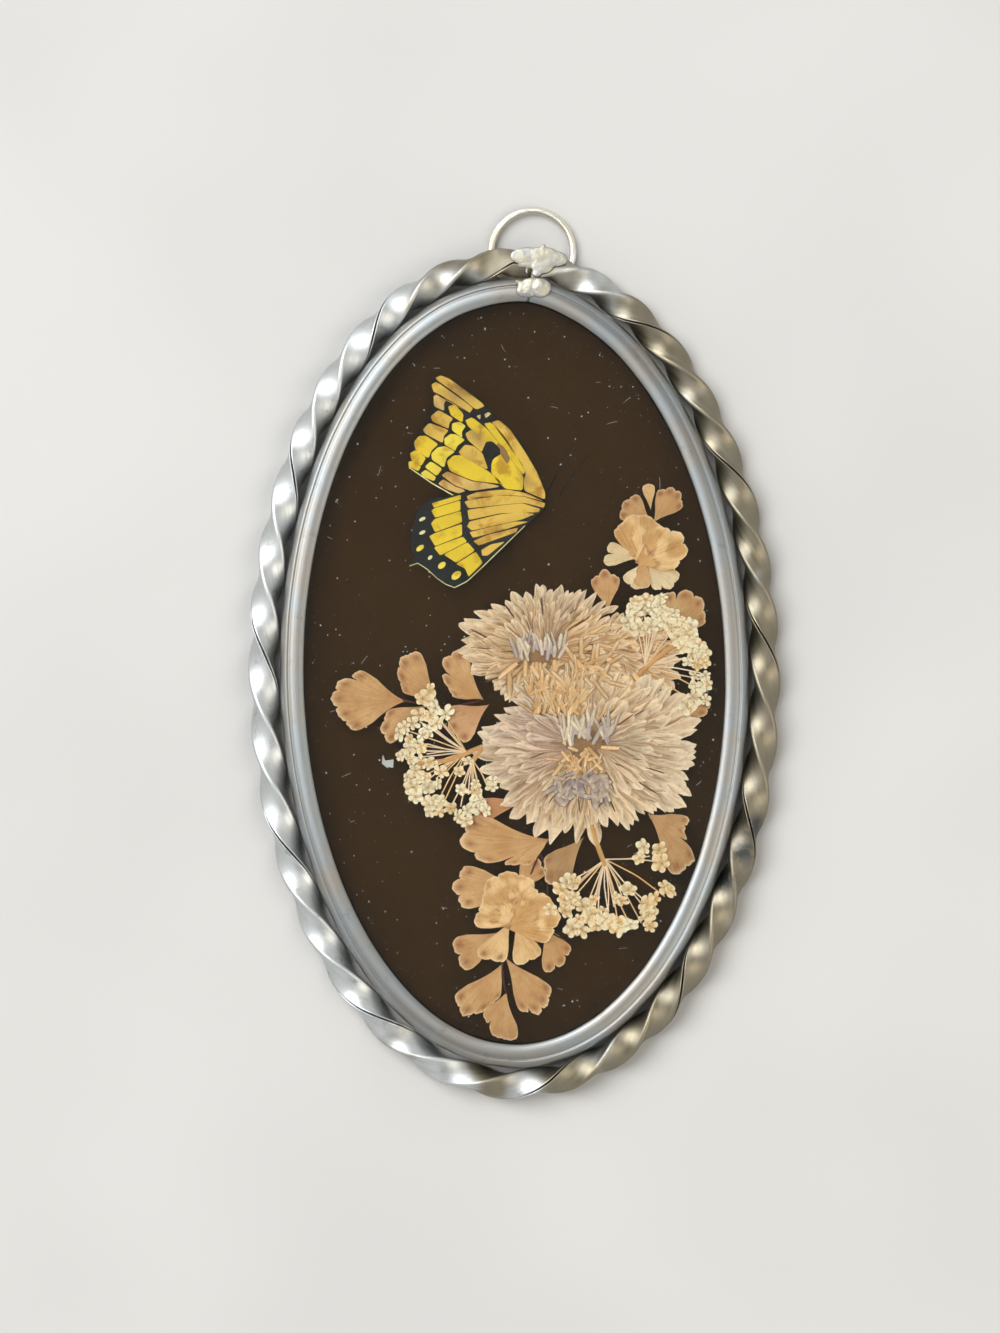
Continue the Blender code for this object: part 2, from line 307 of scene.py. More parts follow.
def metal_look(name, colour, warm, roughness, streaks, tarnish=0.35, side_shade_lean=0.0, spots=()):
    """Old satin metal: streaks in the mesh's (u, v), warm and dark patches, fine pits. lean gathers the warm
    tone towards +X, as painted shade on that side; spots are the middles of dark tarnish blotches on the
    front."""
    look = Look(name, roughness, metallic=1.0)
    place = look.coords()
    lines = look.noise(look.coords("UV", (*streaks, 1)), 1.0, detail=4, roughness=0.7)
    patches = look.noise(place, 0.09, detail=2)
    stains = look.noise(place, 0.35, detail=5, roughness=0.65)
    grain = look.noise(place, 5.0, detail=2)
    # Painted shade: adding a share of X gathers the darker warm tone towards +X, the side away from the cool
    # window.
    patches = look.plus(patches, look.times(look.node("SeparateXYZ", {0: place}, "X"), side_shade_lean))
    tone = look.mix(look.ramp(patches, 0.4, 0.62), colour, warm)
    tone = look.mix(look.ramp(stains, 0.56, 0.74, 0.0, tarnish), tone, colour * 0.35)
    tone = look.mix(look.ramp(lines, 0.3, 0.7, 0.0, 0.28), tone, colour * 0.55)
    for x, y in spots:
        away = look.node("VectorMath", {0: place, 1: (x, y, 4.0)}, "Value", operation="DISTANCE")
        blotch = look.times(look.ramp(away, 0.8, 3.6, 1.0, 0.0), look.ramp(stains, 0.34, 0.54))
        tone = look.mix(blotch, tone, colour * 0.12)
    look.put("Base Color", look.mix(1.0, tone, look.tint(), "MULTIPLY"))
    worn = look.ramp(lines, 0.25, 0.75, roughness - 0.08, roughness + 0.12)
    look.put("Roughness", look.plus(worn, look.ramp(grain, 0.3, 0.7, -0.03, 0.05)))
    look.bump(look.plus(lines, look.times(grain, 0.5)), 0.02)
    return look.material


def solder_look(name):
    """Cold solder: grey with a cream tint, frosted in darker patches."""
    look = Look(name, 0.42, metallic=1.0)
    place = look.coords()
    frost = look.noise(place, 1.6, detail=6, roughness=0.7)
    cloud = look.noise(place, 0.45, detail=2)
    tone = look.mix(look.ramp(cloud, 0.35, 0.65), rgb(160, 160, 157), rgb(174, 169, 152))
    look.put("Base Color", look.mix(look.ramp(frost, 0.55, 0.8, 0, 0.55), tone, rgb(88, 85, 79)))
    look.put("Roughness", look.ramp(frost, 0.3, 0.7, 0.42, 0.62))
    look.bump(frost, 0.05)
    return look.material


def dry_look(name, roughness, vein_coords, vein_scale, vein_depth, mottle, shade):
    """Dry plant matter: the painted tint, with veins along each piece and a fine mottle."""
    look = Look(name, roughness, Specular_IOR_Level=0.35)
    veins = look.noise(look.coords("UV", vein_coords), vein_scale, detail=3, roughness=0.6)
    fine = look.noise(look.coords(), mottle, detail=5, roughness=0.65)
    tone = look.mix(look.ramp(veins, 0.42, 0.68, 0.0, vein_depth), look.tint(), shade, "MULTIPLY")
    tone = look.mix(look.ramp(fine, 0.45, 0.75, 0.0, 0.35), tone, shade, "MULTIPLY")
    look.put("Base Color", tone)
    look.bump(look.plus(veins, look.times(fine, 0.4)), 0.06)
    return look.material


def wing_look(name):
    """Butterfly scales: satin powder, browned in cloudy blotches where they have aged."""
    look = Look(name, 0.55, Specular_IOR_Level=0.3)
    place = look.coords()
    blotches = look.noise(place, 0.3, detail=3, distortion=0.4)
    powder = look.noise(place, 6.0, detail=4, roughness=0.7)
    tone = look.mix(look.ramp(blotches, 0.48, 0.7, 0.0, 0.8), look.tint(), rgb(202, 168, 130), "MULTIPLY")
    tone = look.mix(look.ramp(powder, 0.45, 0.8, 0.0, 0.3), tone, rgb(150, 120, 70), "MULTIPLY")
    look.put("Base Color", tone)
    look.bump(powder, 0.02)
    return look.material


def glass_look(name, colour, smudge):
    """Clear or tinted glass; smudge is how rough its faintly greasy patches get."""
    look = Look(name, 0.0, Base_Color=colour, IOR=1.5, Transmission_Weight=1.0)
    film = look.noise(look.coords(), 0.12, detail=4, roughness=0.6)
    look.put("Roughness", look.ramp(film, 0.45, 0.8, 0.0, smudge))
    return look.material


# ---------------------------------------------------------------- metalwork

JOINT_ANGLE = 0.075
JOINT_GAP = 0.02
PEAK_HEIGHT = 0.5
PEAK_REACH = 9.0
CAME_WAVER = 0.05
WAVER_ABOVE = 3.0
SEAM_SHADE = 0.35
SEAM_REACH = 0.6
CAME_TOP = high_mm("came_frame")[2]

BORDER_OFFSET = 3.55
BORDER_RADIUS = 2.75
BORDER_TURNS = 12
SLOT_FRONTS = (0.071, 0.150, 0.233, 0.321, 0.404, 0.484, 0.576, 0.666, 0.761, 0.847, 0.926)
SLOT_HALF = 0.42
SLOT_SHADE = 0.25
FACE_LENGTH = 4.4
BORDER_DENTS = 0.018
# Painted shade: how fast the border's darker warm tone gathers towards +X, per millimetre.
BORDER_SIDE_SHADE = 0.006
BORDER_SPOTS = ((41.3, -36.1), (43.4, -31.6), (38.0, -40.6))
FLAT_REACH = 6.0
FLAT_BLEND = 5.0
FLAT_SQUASH = 0.3
FLAT_CENTRE = 4.0

WIRE_RADIUS = 0.625
LOOP_OPENING = 100.0
LOOP_LOW, LOOP_HIGH = low_mm("hanging_loop"), high_mm("hanging_loop")
LOOP_RADIUS = (LOOP_HIGH[0] - LOOP_LOW[0]) / 2 - WIRE_RADIUS
LOOP_MIDDLE = np.array(((LOOP_LOW[0] + LOOP_HIGH[0]) / 2, LOOP_HIGH[1] - WIRE_RADIUS - LOOP_RADIUS))

SOLDER_SPILL = 0.3


def came_profile():
    """(depth inward, height): back flange, channel, broad front bead, thin ridge, outer wall."""
    top = CAME_TOP
    return (
        (0.12, 0.1), (0.35, 0.0), (4.2, 0.0), (4.2, 0.45), (0.9, 0.45), (0.9, top - 0.65), (4.05, top - 0.65),
        (4.2, top - 0.6), (4.27, top - 0.5), (4.24, top - 0.38), (4.05, top - 0.24), (3.75, top - 0.11),
        (3.3, top - 0.02), (2.8, top), (2.3, top - 0.03), (1.95, top - 0.12), (1.72, top - 0.22),
        (1.6, top - 0.3), (1.5, top - 0.31), (1.42, top - 0.24), (1.3, top - 0.12), (1.18, top - 0.1),
        (1.05, top - 0.15), (0.8, top - 0.3), (0.5, top - 0.55), (0.22, top - 0.9), (0.05, top - 1.3),
        (0.0, top - 1.8), (0.0, 0.35),
    )


def build_came(stations=420):
    """One length of came round the glass, drawn up a little where its ends meet."""
    profile = came_profile()
    rings, tints = [], []
    for angle in np.linspace(JOINT_ANGLE, JOINT_ANGLE + 2 * math.pi, stations):
        away = min(angle - JOINT_ANGLE, JOINT_ANGLE + 2 * math.pi - angle) * HALF_WIDTH
        peak = PEAK_HEIGHT * max(0.0, 1 - away / PEAK_REACH)
        waver = CAME_WAVER * noise.noise(Vector((9 * math.sin(angle), 9 * math.cos(angle), 0)))
        ring = []
        for depth, height in profile:
            point, _ = oval(angle, CAME_EDGE + peak - depth + waver * (height > WAVER_ABOVE))
            ring.append((*point, height))
        rings.append(ring)
        # Painted shade: darker towards the seam where the came's two ends meet, standing in for the dark
        # crack between them.
        tints.append(np.full((len(profile), 3), SEAM_SHADE + (1 - SEAM_SHADE) * smooth(away, 0.0, SEAM_REACH)))
    came = Pieces()
    came.grid(np.array(rings), np.array(tints), around=True)
    came.cap_ends(len(profile))
    look = metal_look("came_metal", rgb(142, 146, 146), rgb(146, 142, 135), 0.42, (60, 3))
    came.make("came_channel", look, "came_metal", "came_frame")


def squeezed_section(corner_round=0.62, face_bulge=12.0, steps=72):
    """(out, up) round the squeezed channel: a bulging triangle whose first corner is split by the slot.

    Walks round the outline by its direction: corners turn tightly, faces turn slowly, over face_bulge degrees
    each way.
    """
    headings = np.arange(steps) * 360 / steps
    from_corner = np.abs((headings + 60) % 120 - 60)
    face_round = FACE_LENGTH * (60 - face_bulge) / 60 / math.radians(2 * face_bulge)
    bend = np.where(from_corner > 60 - face_bulge, face_round, corner_round)
    turn = np.radians(headings)
    step = np.stack((-np.sin(turn), np.cos(turn)), 1) * bend[:, None] * math.radians(360 / steps)
    points = np.cumsum(step, axis=0)
    points -= points.mean(axis=0)
    points *= BORDER_RADIUS / np.linalg.norm(points, axis=1).max()
    tip = points[np.argmax(points[:, 0])][0]
    kept = [point for point in points if not (point[0] > 0 and abs(point[1]) < SLOT_HALF)]
    kept.sort(key=lambda point: math.atan2(point[1], point[0]) % (2 * math.pi))
    slot = ((tip - 0.9, 0.0), (tip - 0.8, 0.10), (tip - 0.16, 0.15), (tip - 0.03, 0.20), (tip, 0.29))
    mirrored = tuple((x, -y) for x, y in reversed(slot[1:]))
    return np.array((*slot, *kept, *mirrored))


def build_border(stations=900):
    """The twisted strip, pressed flat beside the top where it is soldered."""
    section = squeezed_section()
    _, length = even_angles(BORDER_OFFSET, np.zeros(1))
    joint = (LOOP_MIDDLE[0] - OVAL_MIDDLE[0]) / length
    half_gap = JOINT_GAP / 2 / length
    fractions = np.linspace(joint + half_gap, joint + 1 - half_gap, stations)
    angles, _ = even_angles(BORDER_OFFSET, fractions)
    turns = np.interp(fractions, (0.0, *SLOT_FRONTS, 1.0), range(BORDER_TURNS + 1))
    rings, tints = [], []
    for fraction, angle, turn in zip(fractions, angles, turns):
        away = min(fraction - joint, joint + 1 - fraction) * length
        twisted = min(1.0, max(0.0, (away - FLAT_REACH) / FLAT_BLEND))
        squash = FLAT_SQUASH + (1 - FLAT_SQUASH) * twisted
        centre = FLAT_CENTRE + (BORDER_RADIUS - FLAT_CENTRE) * twisted
        middle, normal = oval(angle, BORDER_OFFSET)
        spin = math.pi / 2 - 2 * math.pi * turn
        turned = section @ np.array(((math.cos(spin), math.sin(spin)), (-math.sin(spin), math.cos(spin))))
        dent = 1 + BORDER_DENTS * noise.noise(Vector((fraction * 60, 0, 3)))
        rings.append([(*(middle + normal * out * dent), centre + squash * up * dent) for out, up in turned])
        tint = np.ones((len(section), 3))
        # Painted shade on the points deepest in the slot between the strip's lips.
        tint[:2] = tint[-1:] = SLOT_SHADE
        tints.append(tint)
    border = Pieces()
    border.grid(np.array(rings), np.array(tints), around=True)
    border.cap_ends(len(section))
    # Its second colour gives warm patches and, gathered towards +X, that side's painted shade.
    look = metal_look("border_metal", rgb(196, 199, 198), rgb(130, 121, 99), 0.44, (50, 9), 0.65, BORDER_SIDE_SHADE,
                      BORDER_SPOTS)
    border.make("border_strip", look, "border_metal", "border_twist")


def build_loop(stations=120, sides=24):
    """The wire loop, open at its foot where the joint's solder holds its two ends."""
    opening = LOOP_OPENING / 2
    turn = np.linspace(math.radians(opening - 90), math.radians(270 - opening), stations)
    wander = np.array([noise.noise(Vector((4 * angle, 0, 1))) for angle in turn])
    reach = LOOP_RADIUS - 0.03 + 0.05 * wander
    height = np.full(stations, (LOOP_LOW[2] + LOOP_HIGH[2]) / 2)
    route = (LOOP_MIDDLE[0] + reach * np.cos(turn), LOOP_MIDDLE[1] + reach * np.sin(turn), height)
    loop = Pieces()
    loop.tube(np.stack(route, 1), WIRE_RADIUS * (1 + 0.05 * wander), WHITE, sides)
    loop.cap_ends(sides)
    look = metal_look("loop_metal", rgb(226, 224, 216), rgb(236, 226, 200), 0.36, (3, 10), 0.15)
    loop.make("loop_wire", look, "loop_metal", "hanging_loop")


def drops(name, node, lumps, blobs, voxel=0.14):
    """Solder: blobs, each a middle and half sizes, run together, roughened and kept near the node's box."""
    bm = bmesh.new()
    for middle, half in blobs:
        for vertex in bmesh.ops.create_icosphere(bm, subdivisions=3, radius=1.0)["verts"]:
            vertex.co = [middle[k] + half[k] * vertex.co[k] for k in range(3)]
    mesh = bpy.data.meshes.new(name)
    bm.to_mesh(mesh)
    bm.free()
    obj = link_new(name, mesh)
    remesh = obj.modifiers.new("run_together", "REMESH")
    remesh.mode = "VOXEL"
    remesh.voxel_size = voxel
    obj.modifiers.new("soften", "SMOOTH").iterations = 14
    bpy.context.view_layer.update()
    whole = bpy.data.meshes.new_from_object(obj.evaluated_get(bpy.context.evaluated_depsgraph_get()))
    obj.modifiers.clear()
    obj.data = whole
    low, high = low_mm(node) - SOLDER_SPILL, high_mm(node) + SOLDER_SPILL
    for vertex in whole.vertices:
        push = lumps * noise.noise(vertex.co * 0.8) + lumps * 0.25 * noise.noise(vertex.co * 2.3)
        point = vertex.co + vertex.normal * push
        vertex.co = [min(max(point[k], low[k]), high[k]) * MM for k in range(3)]
    whole.materials.clear()
    whole.materials.append(solder_look(name))
    whole.shade_smooth()
    register(obj, "solder", node)


def build_solder():
    """Each blob is given by its middle and its half sizes."""
    top = high_mm("solder_border_joint")[2]
    drops("joint_solder", "solder_border_joint", 0.07, (
        ((2.6, 70.9, top - 0.62), (3.2, 1.7, 0.3)),
        ((5.2, 70.8, top - 0.6), (3.4, 1.9, 0.32)),
        ((7.6, 70.4, top - 0.65), (2.3, 1.5, 0.3)),
        ((5.5, 72.6, top - 0.6), (0.4, 0.5, 0.35)),
        ((3.4, 69.8, top - 0.66), (2.4, 1.2, 0.28)),
        ((5.2, 69.0, top - 0.6), (2.1, 1.4, 0.32)),
        ((4.3, 67.9, top - 0.6), (0.9, 0.9, 0.3)),
        ((1.7, 69.2, top - 0.8), (0.9, 0.4, 0.25)),
        ((2.5, 68.2, top - 0.85), (0.3, 0.6, 0.25)),
    ))
    top = high_mm("solder_came_joint")[2]
    drops("came_solder", "solder_came_joint", 0.16, (
        ((2.6, 65.0, top - 0.85), (1.9, 1.7, 0.6)),
        ((4.9, 65.1, top - 0.75), (2.0, 1.8, 0.6)),
        ((1.6, 64.6, top - 0.8), (1.0, 1.1, 0.5)),
        ((0.6, 66.2, top - 0.95), (1.0, 0.4, 0.35)),
        ((3.8, 66.3, top - 0.8), (2.2, 0.7, 0.4)),
    ))
    x, y = spot("solder_loop_back", 0.5, 0.5)
    foot = low_mm("solder_loop_back")[2]
    drops("loop_solder", "solder_loop_back", 0.12, (
        ((x - 2.8, y - 0.2, foot + 0.4), (2.2, 1.6, 0.7)),
        ((x, y, foot + 0.3), (2.6, 1.9, 0.8)),
        ((x + 2.9, y - 0.3, foot + 0.4), (2.2, 1.5, 0.7)),
    ))


# ---------------------------------------------------------------- butterfly

YELLOW = rgb(246, 216, 50)
AMBER = rgb(238, 200, 86)
TAN_WING = rgb(234, 198, 114)
LEMON = rgb(250, 230, 76)
IVORY = rgb(238, 234, 170)
WING_BLACK = rgb(17, 17, 14)
WING_DUST = rgb(22, 27, 29)
WING_SMOKE = rgb(156, 118, 66)

# Outlines are counted from the wings' root: the wings reach left, to negative x.
FOREWING = (
    (0, 0), (-0.9, 3.4), (-2.9, 7.1), (-5.6, 10.6), (-8.3, 13.8), (-9.5, 14.7), (-9.9, 16.0), (-11.0, 16.9),
    (-15.5, 20.2), (-18.6, 22.2), (-20.0, 22.0), (-20.7, 20.6), (-20.1, 18.9), (-20.4, 17.0), (-20.9, 15.0),
    (-22.1, 12.8), (-23.6, 10.9), (-24.5, 8.6), (-24.7, 6.2), (-20.4, 3.0), (-16.6, 0.8), (-14.2, 1.2),
    (-7.5, 2.0), (-4.0, 1.4),
)
FOREWING_CELLS = (
    (AMBER, ((-19.9, 21.9), (-18.9, 22.3), (-17.2, 21.6), (-10.9, 16.9), (-12.5, 16.3), (-15.5, 18.8))),
    (AMBER, ((-20.5, 20.7), (-19.7, 21.2), (-13.1, 16.5), (-13.7, 15.7), (-16.4, 17.2), (-20.0, 19.2))),
    (TAN_WING, ((-20.1, 18.7), (-19.0, 18.9), (-17.9, 18.1), (-18.4, 17.3), (-18.3, 16.1), (-20.0, 16.9))),
    (AMBER, ((-20.6, 15.0), (-19.3, 16.1), (-16.7, 14.6), (-17.4, 13.9), (-17.5, 12.9), (-20.3, 14.2))),
    (AMBER, ((-22.0, 12.6), (-21.0, 13.8), (-17.5, 12.5), (-18.4, 11.6), (-18.5, 10.3), (-21.6, 12.0))),
    (YELLOW, ((-23.6, 10.4), (-22.8, 11.4), (-21.6, 11.5), (-19.4, 10.0), (-20.6, 9.0), (-21.1, 7.6),
              (-23.3, 9.0))),
    (YELLOW, ((-24.3, 8.4), (-23.4, 8.9), (-21.6, 7.6), (-22.4, 6.2), (-24.1, 7.3))),
    (YELLOW, ((-24.6, 6.8), (-24.0, 7.0), (-22.5, 6.0), (-22.9, 5.3), (-24.6, 6.1))),
    (YELLOW, ((-17.5, 16.8), (-16.4, 17.1), (-14.9, 15.4), (-15.0, 14.0), (-17.0, 15.3))),
    (LEMON, ((-16.8, 13.7), (-15.5, 14.0), (-14.5, 13.3), (-15.2, 12.3), (-15.0, 11.2), (-16.8, 12.6))),
    (LEMON, ((-18.2, 11.0), (-17.1, 11.8), (-16.2, 11.7), (-14.6, 10.8), (-16.0, 9.8), (-16.3, 8.9),
             (-18.1, 10.0))),
    (LEMON, ((-20.5, 8.3), (-19.4, 9.4), (-18.1, 9.6), (-16.4, 8.7), (-17.9, 7.7), (-18.3, 5.9),
             (-20.4, 7.3))),
    (LEMON, ((-21.7, 6.0), (-20.7, 6.9), (-18.7, 5.6), (-19.6, 4.4))),
    (LEMON, ((-22.4, 4.8), (-21.6, 5.4), (-19.8, 4.1), (-20.1, 3.5), (-22.0, 4.3))),
    (AMBER, ((-9.7, 14.0), (-8.5, 14.3), (-6.6, 12.7), (-3.9, 8.7), (-1.7, 5.0), (-0.2, 1.2),
             (-0.2, 0.2), (-3.8, 1.7), (-3.9, 3.5), (-3.5, 4.8), (-4.3, 6.7), (-7.5, 11.1))),
    (YELLOW, ((-11.1, 13.8), (-9.9, 13.9), (-7.4, 11.3), (-3.8, 5.2), (-4.0, 4.6), (-5.9, 7.1),
              (-8.3, 10.3))),
    (YELLOW, ((-14.4, 14.3), (-13.3, 14.8), (-10.5, 12.6), (-8.3, 9.9), (-4.1, 4.3), (-4.2, 1.8),
              (-7.2, 2.1), (-8.6, 3.4), (-9.9, 5.2), (-8.5, 8.6), (-11.0, 10.7), (-13.9, 13.3))),
    (AMBER, ((-14.4, 11.9), (-13.4, 12.6), (-10.8, 10.4), (-11.3, 9.5), (-11.5, 8.7), (-13.9, 10.8))),
    (AMBER, ((-15.6, 8.6), (-14.5, 9.9), (-13.0, 9.6), (-11.5, 8.4), (-10.3, 5.4), (-15.2, 8.1))),
    (YELLOW, ((-17.7, 6.9), (-16.6, 7.9), (-15.3, 8.0), (-10.5, 5.2), (-7.7, 3.0), (-13.1, 3.5),
              (-17.2, 5.3))),
    (TAN_WING, ((-18.7, 4.5), (-17.7, 5.1), (-13.1, 3.4), (-7.9, 2.5), (-13.7, 1.7), (-15.8, 2.4))),
    (TAN_WING, ((-19.3, 3.0), (-18.4, 3.7), (-14.4, 1.6), (-15.7, 1.3), (-18.0, 2.1))),
)
CRESCENT = ((-11.3, 9.0), (-10.8, 10.5), (-9.6, 10.6), (-8.2, 9.2), (-8.2, 8.0), (-9.7, 7.4),
            (-10.0, 5.4), (-11.0, 7.4))
CRESCENT_LOBE = ((-9.9, 6.0), (-9.5, 7.4), (-8.2, 8.2), (-7.9, 7.0), (-8.4, 5.2), (-9.2, 4.7))
WING_SMUDGES = (  # x, y, reach
    (-15.1, 19.7, 1.7), (-17.4, 18.3, 1.5), (-19.3, 17.0, 1.0), (-21.2, 13.0, 1.0), (-12.3, 11.7, 1.4),
    (-3.3, 3.6, 1.5), (-12.1, 0.4, 1.5), (-9.0, -5.6, 0.9), (-13.6, 7.2, 0.9),
)
SMOKE_PATCH = ((-8.6, 10.4), (-7.2, 9.2), (-6.4, 7.4), (-7.0, 6.4), (-8.0, 8.0), (-9.2, 9.4))
FOREWING_VEINS = (
    ((-18.9, 4.1), (-16.2, 2.5), (-13.8, 1.7)),
    ((-17.6, 5.2), (-13.2, 3.45), (-7.8, 2.75)),
    ((-20.2, 19.4), (-16.4, 17.3), (-13.2, 15.3)),
)
FOREWING_SPOTS = (
    ((-11.1, 15.4), (-10.4, 15.8), (-9.8, 15.5), (-10.8, 14.7)),
    ((-12.5, 15.1), (-11.7, 15.4), (-11.8, 14.4)),
)
HINDWING = (
    (-0.1, -0.4), (-0.3, -1.5), (-3.8, -4.7), (-11.5, -12.2), (-14.2, -14.6), (-16.4, -15.8), (-18.0, -15.2),
    (-19.6, -14.1), (-21.3, -12.4), (-22.9, -11.4), (-24.4, -11.8), (-23.6, -10.2), (-24.2, -8.4),
    (-24.0, -5.5), (-23.4, -2.8), (-22.4, -1.0), (-20.8, 0.3), (-15.3, 1.0), (-14.2, 1.5), (-7.2, 2.1),
    (-4.0, 1.5),
)
HINDWING_CELLS = (
    (YELLOW, ((-20.5, -0.6), (-15.3, 0.9), (-15.3, 0.2), (-20.1, -1.3))),
    (YELLOW, ((-20.5, -1.9), (-20.0, -1.5), (-15.4, -0.1), (-15.4, -1.8), (-19.9, -3.1))),
    (YELLOW, ((-20.6, -4.2), (-19.9, -3.4), (-15.3, -2.0), (-15.1, -3.9), (-19.9, -5.7))),
    (YELLOW, ((-20.9, -6.5), (-20.0, -6.0), (-15.1, -4.3), (-15.1, -6.3), (-19.9, -8.2))),
    (YELLOW, ((-20.1, -8.5), (-14.9, -6.6), (-14.2, -7.4), (-19.0, -9.9))),
    (YELLOW, ((-18.3, -9.8), (-14.1, -7.6), (-12.8, -9.0), (-16.1, -11.2))),
    (YELLOW, ((-16.1, -11.5), (-12.6, -9.3), (-11.4, -11.2), (-13.9, -13.7), (-14.5, -12.2))),
    (AMBER, ((-14.2, 0.7), (-12.1, 1.5), (-7.2, 1.9), (-4.0, 1.4), (-0.5, -0.2), (-4.0, 0.8),
             (-7.8, 1.0), (-14.0, 0.1))),
    (AMBER, ((-14.6, -0.3), (-12.1, 0.5), (-7.8, 0.8), (-4.0, 0.6), (-0.2, -0.6), (-0.4, -1.3),
             (-4.0, -0.4), (-8.3, -0.8), (-13.9, -1.4))),
    (AMBER, ((-14.1, -1.8), (-8.3, -1.0), (-4.3, -0.6), (-1.1, -1.6), (-1.3, -2.1), (-8.3, -2.3),
             (-13.8, -3.5))),
    (AMBER, ((-14.1, -4.7), (-13.7, -3.9), (-8.3, -2.6), (-4.3, -2.2), (-2.1, -2.5), (-4.3, -3.4),
             (-13.3, -5.4))),
    (AMBER, ((-13.7, -5.8), (-9.7, -4.8), (-5.6, -3.9), (-3.2, -3.8), (-6.7, -5.0), (-13.1, -6.7))),
    (AMBER, ((-13.0, -7.4), (-10.5, -6.3), (-5.0, -5.0), (-5.4, -5.7), (-12.1, -8.1))),
    (AMBER, ((-11.6, -9.0), (-9.9, -8.0), (-7.4, -7.4), (-10.5, -9.9), (-11.4, -9.9))),
)
HINDWING_SPOTS = (  # x, y, half length, half width, slant
    (-22.2, -3.4, 0.62, 0.3, 28), (-22.2, -5.8, 0.6, 0.3, 28), (-22.6, -8.6, 0.8, 0.42, 38),
    (-20.8, -10.3, 0.5, 0.3, 45), (-18.7, -11.7, 0.8, 0.5, 40), (-16.1, -13.5, 1.0, 0.62, 40),
)
FOREWING_RIM = ((-24.6, 5.9), (-20.4, 3.0), (-16.7, 0.9))
HINDWING_RIMS = (
    ((-24.5, -11.8), (-23.0, -11.3), (-21.3, -12.4), (-19.6, -14.0), (-18.0, -15.1), (-16.4, -15.7),
     (-14.2, -14.6)),
    ((-14.2, -14.6), (-11.5, -12.1), (-3.8, -4.6)),
)
FEELERS = (((0.4, 1.6), (5.1, 9.5)), ((2.4, 0.6), (8.2, 8.6)))
WING_ROOT = np.array((high_mm("butterfly_forewing")[0], low_mm("butterfly_forewing")[1]))
WING_AGED = np.array((0.76, 0.64, 0.6))
CELL_RISE = 0.03
RIM_RISE = 0.04
MARK_RISE = 0.05
LOBE_RISE = 0.07
FEELER_RISE = 0.1
LEMON_SPOT = 0.7
HINDWING_SEED = 40


def dense(outline, step=0.5):
    """The outline with more points along its long edges."""
    points = []
    for start, end in zip(outline, np.roll(outline, -1, axis=0)):
        parts = int(np.linalg.norm(end - start) / step) + 1
        points += [start + (end - start) * part / parts for part in range(parts)]
    return np.array(points)


def shade_cells(colour, outline, seed):
    """Each point's tint: the cell's colour, a little uneven and browned near the smudges."""
    tones = []
    for x, y in outline:
        uneven = 0.5 + 0.5 * noise.noise(Vector((x * 0.35, y * 0.35, seed)))
        tone = blend(colour, colour * WING_AGED, 0.8 * uneven * uneven)
        for across, along, reach in WING_SMUDGES:
            near = math.exp(-((x - across) ** 2 + (y - along) ** 2) / reach**2)
            tone = blend(tone, WING_SMOKE, 0.85 * near)
        tones.append(tone)
    return np.array(tones)


def level_route(points, height):
    """Points of the wings' plane at one height."""
    return [(*(WING_ROOT + point), height) for point in points]


def build_forewing(look):
    height = low_mm("butterfly_forewing")[2]
    wing = Pieces()
    wing.plate(WING_ROOT + rounded(FOREWING, times=1), height, WING_BLACK)
    for number, (colour, outline) in enumerate(FOREWING_CELLS):
        outline = dense(rounded(outline, 0.1, cut=0.12))
        wing.plate(WING_ROOT + outline, height + CELL_RISE, shade_cells(colour, outline, number))
    wing.plate(WING_ROOT + rounded(CRESCENT), height + MARK_RISE, WING_BLACK)
    wing.plate(WING_ROOT + rounded(CRESCENT_LOBE), height + LOBE_RISE, YELLOW)
    wing.plate(WING_ROOT + rounded(SMOKE_PATCH), height + RIM_RISE, WING_SMOKE)
    for route in FOREWING_VEINS:
        wing.tube(level_route(route, height + MARK_RISE), 0.07, WING_BLACK, sides=5)
    for outline in FOREWING_SPOTS:
        wing.plate(WING_ROOT + rounded(outline), height + MARK_RISE, IVORY)
    wing.tube(level_route(FOREWING_RIM, height + RIM_RISE), 0.12, IVORY, sides=5)
    wing.make("forewing", look, "wing", "butterfly_forewing", smooth_shade=False)


def build_hindwing(look):
    height = low_mm("butterfly_hindwing")[2]
    wing = Pieces()
    wing.plate(WING_ROOT + rounded(HINDWING, times=1), height, WING_DUST)
    for number, (colour, outline) in enumerate(HINDWING_CELLS):
        outline = dense(rounded(outline, 0.06, cut=0.07))
        tints = shade_cells(colour, outline, HINDWING_SEED + number)
        wing.plate(WING_ROOT + outline, height + CELL_RISE, tints)
    turn = np.linspace(0, 2 * math.pi, 20, endpoint=False)
    for x, y, long, wide, slant in HINDWING_SPOTS:
        tilt = math.radians(slant)
        spin = np.array(((math.cos(tilt), math.sin(tilt)), (-math.sin(tilt), math.cos(tilt))))
        outline = np.stack((long * np.cos(turn), wide * np.sin(turn)), 1) @ spin
        wing.plate(WING_ROOT + (x, y) + outline, height + MARK_RISE, LEMON if long > LEMON_SPOT else IVORY)
    for route in HINDWING_RIMS:
        wing.tube(level_route(route, height + RIM_RISE), 0.09, IVORY, sides=5)
    wing.make("hindwing", look, "wing", "butterfly_hindwing", smooth_shade=False)


def build_feelers(look, points=12, radius=0.075):
    """Two thin feelers, sagging a little to one side."""
    height = low_mm("butterfly_hindwing")[2] + FEELER_RISE
    share = np.linspace(0, 1, points)[:, None]
    sag = 0.3 * np.sin(share * math.pi) * np.array((-1, 0.6))
    feelers = Pieces()
    for start, end in FEELERS:
        route = WING_ROOT + np.array(start) * (1 - share) + np.array(end) * share
        feelers.tube(np.c_[route + sag, np.full(points, height)], radius, WING_BLACK * 0.5, sides=5)
    feelers.make("feelers", look, "wing")


def build_butterfly():
    look = wing_look("wing_scales")
    build_forewing(look)
    build_hindwing(look)
    build_feelers(look)


# ---------------------------------------------------------------- ferns

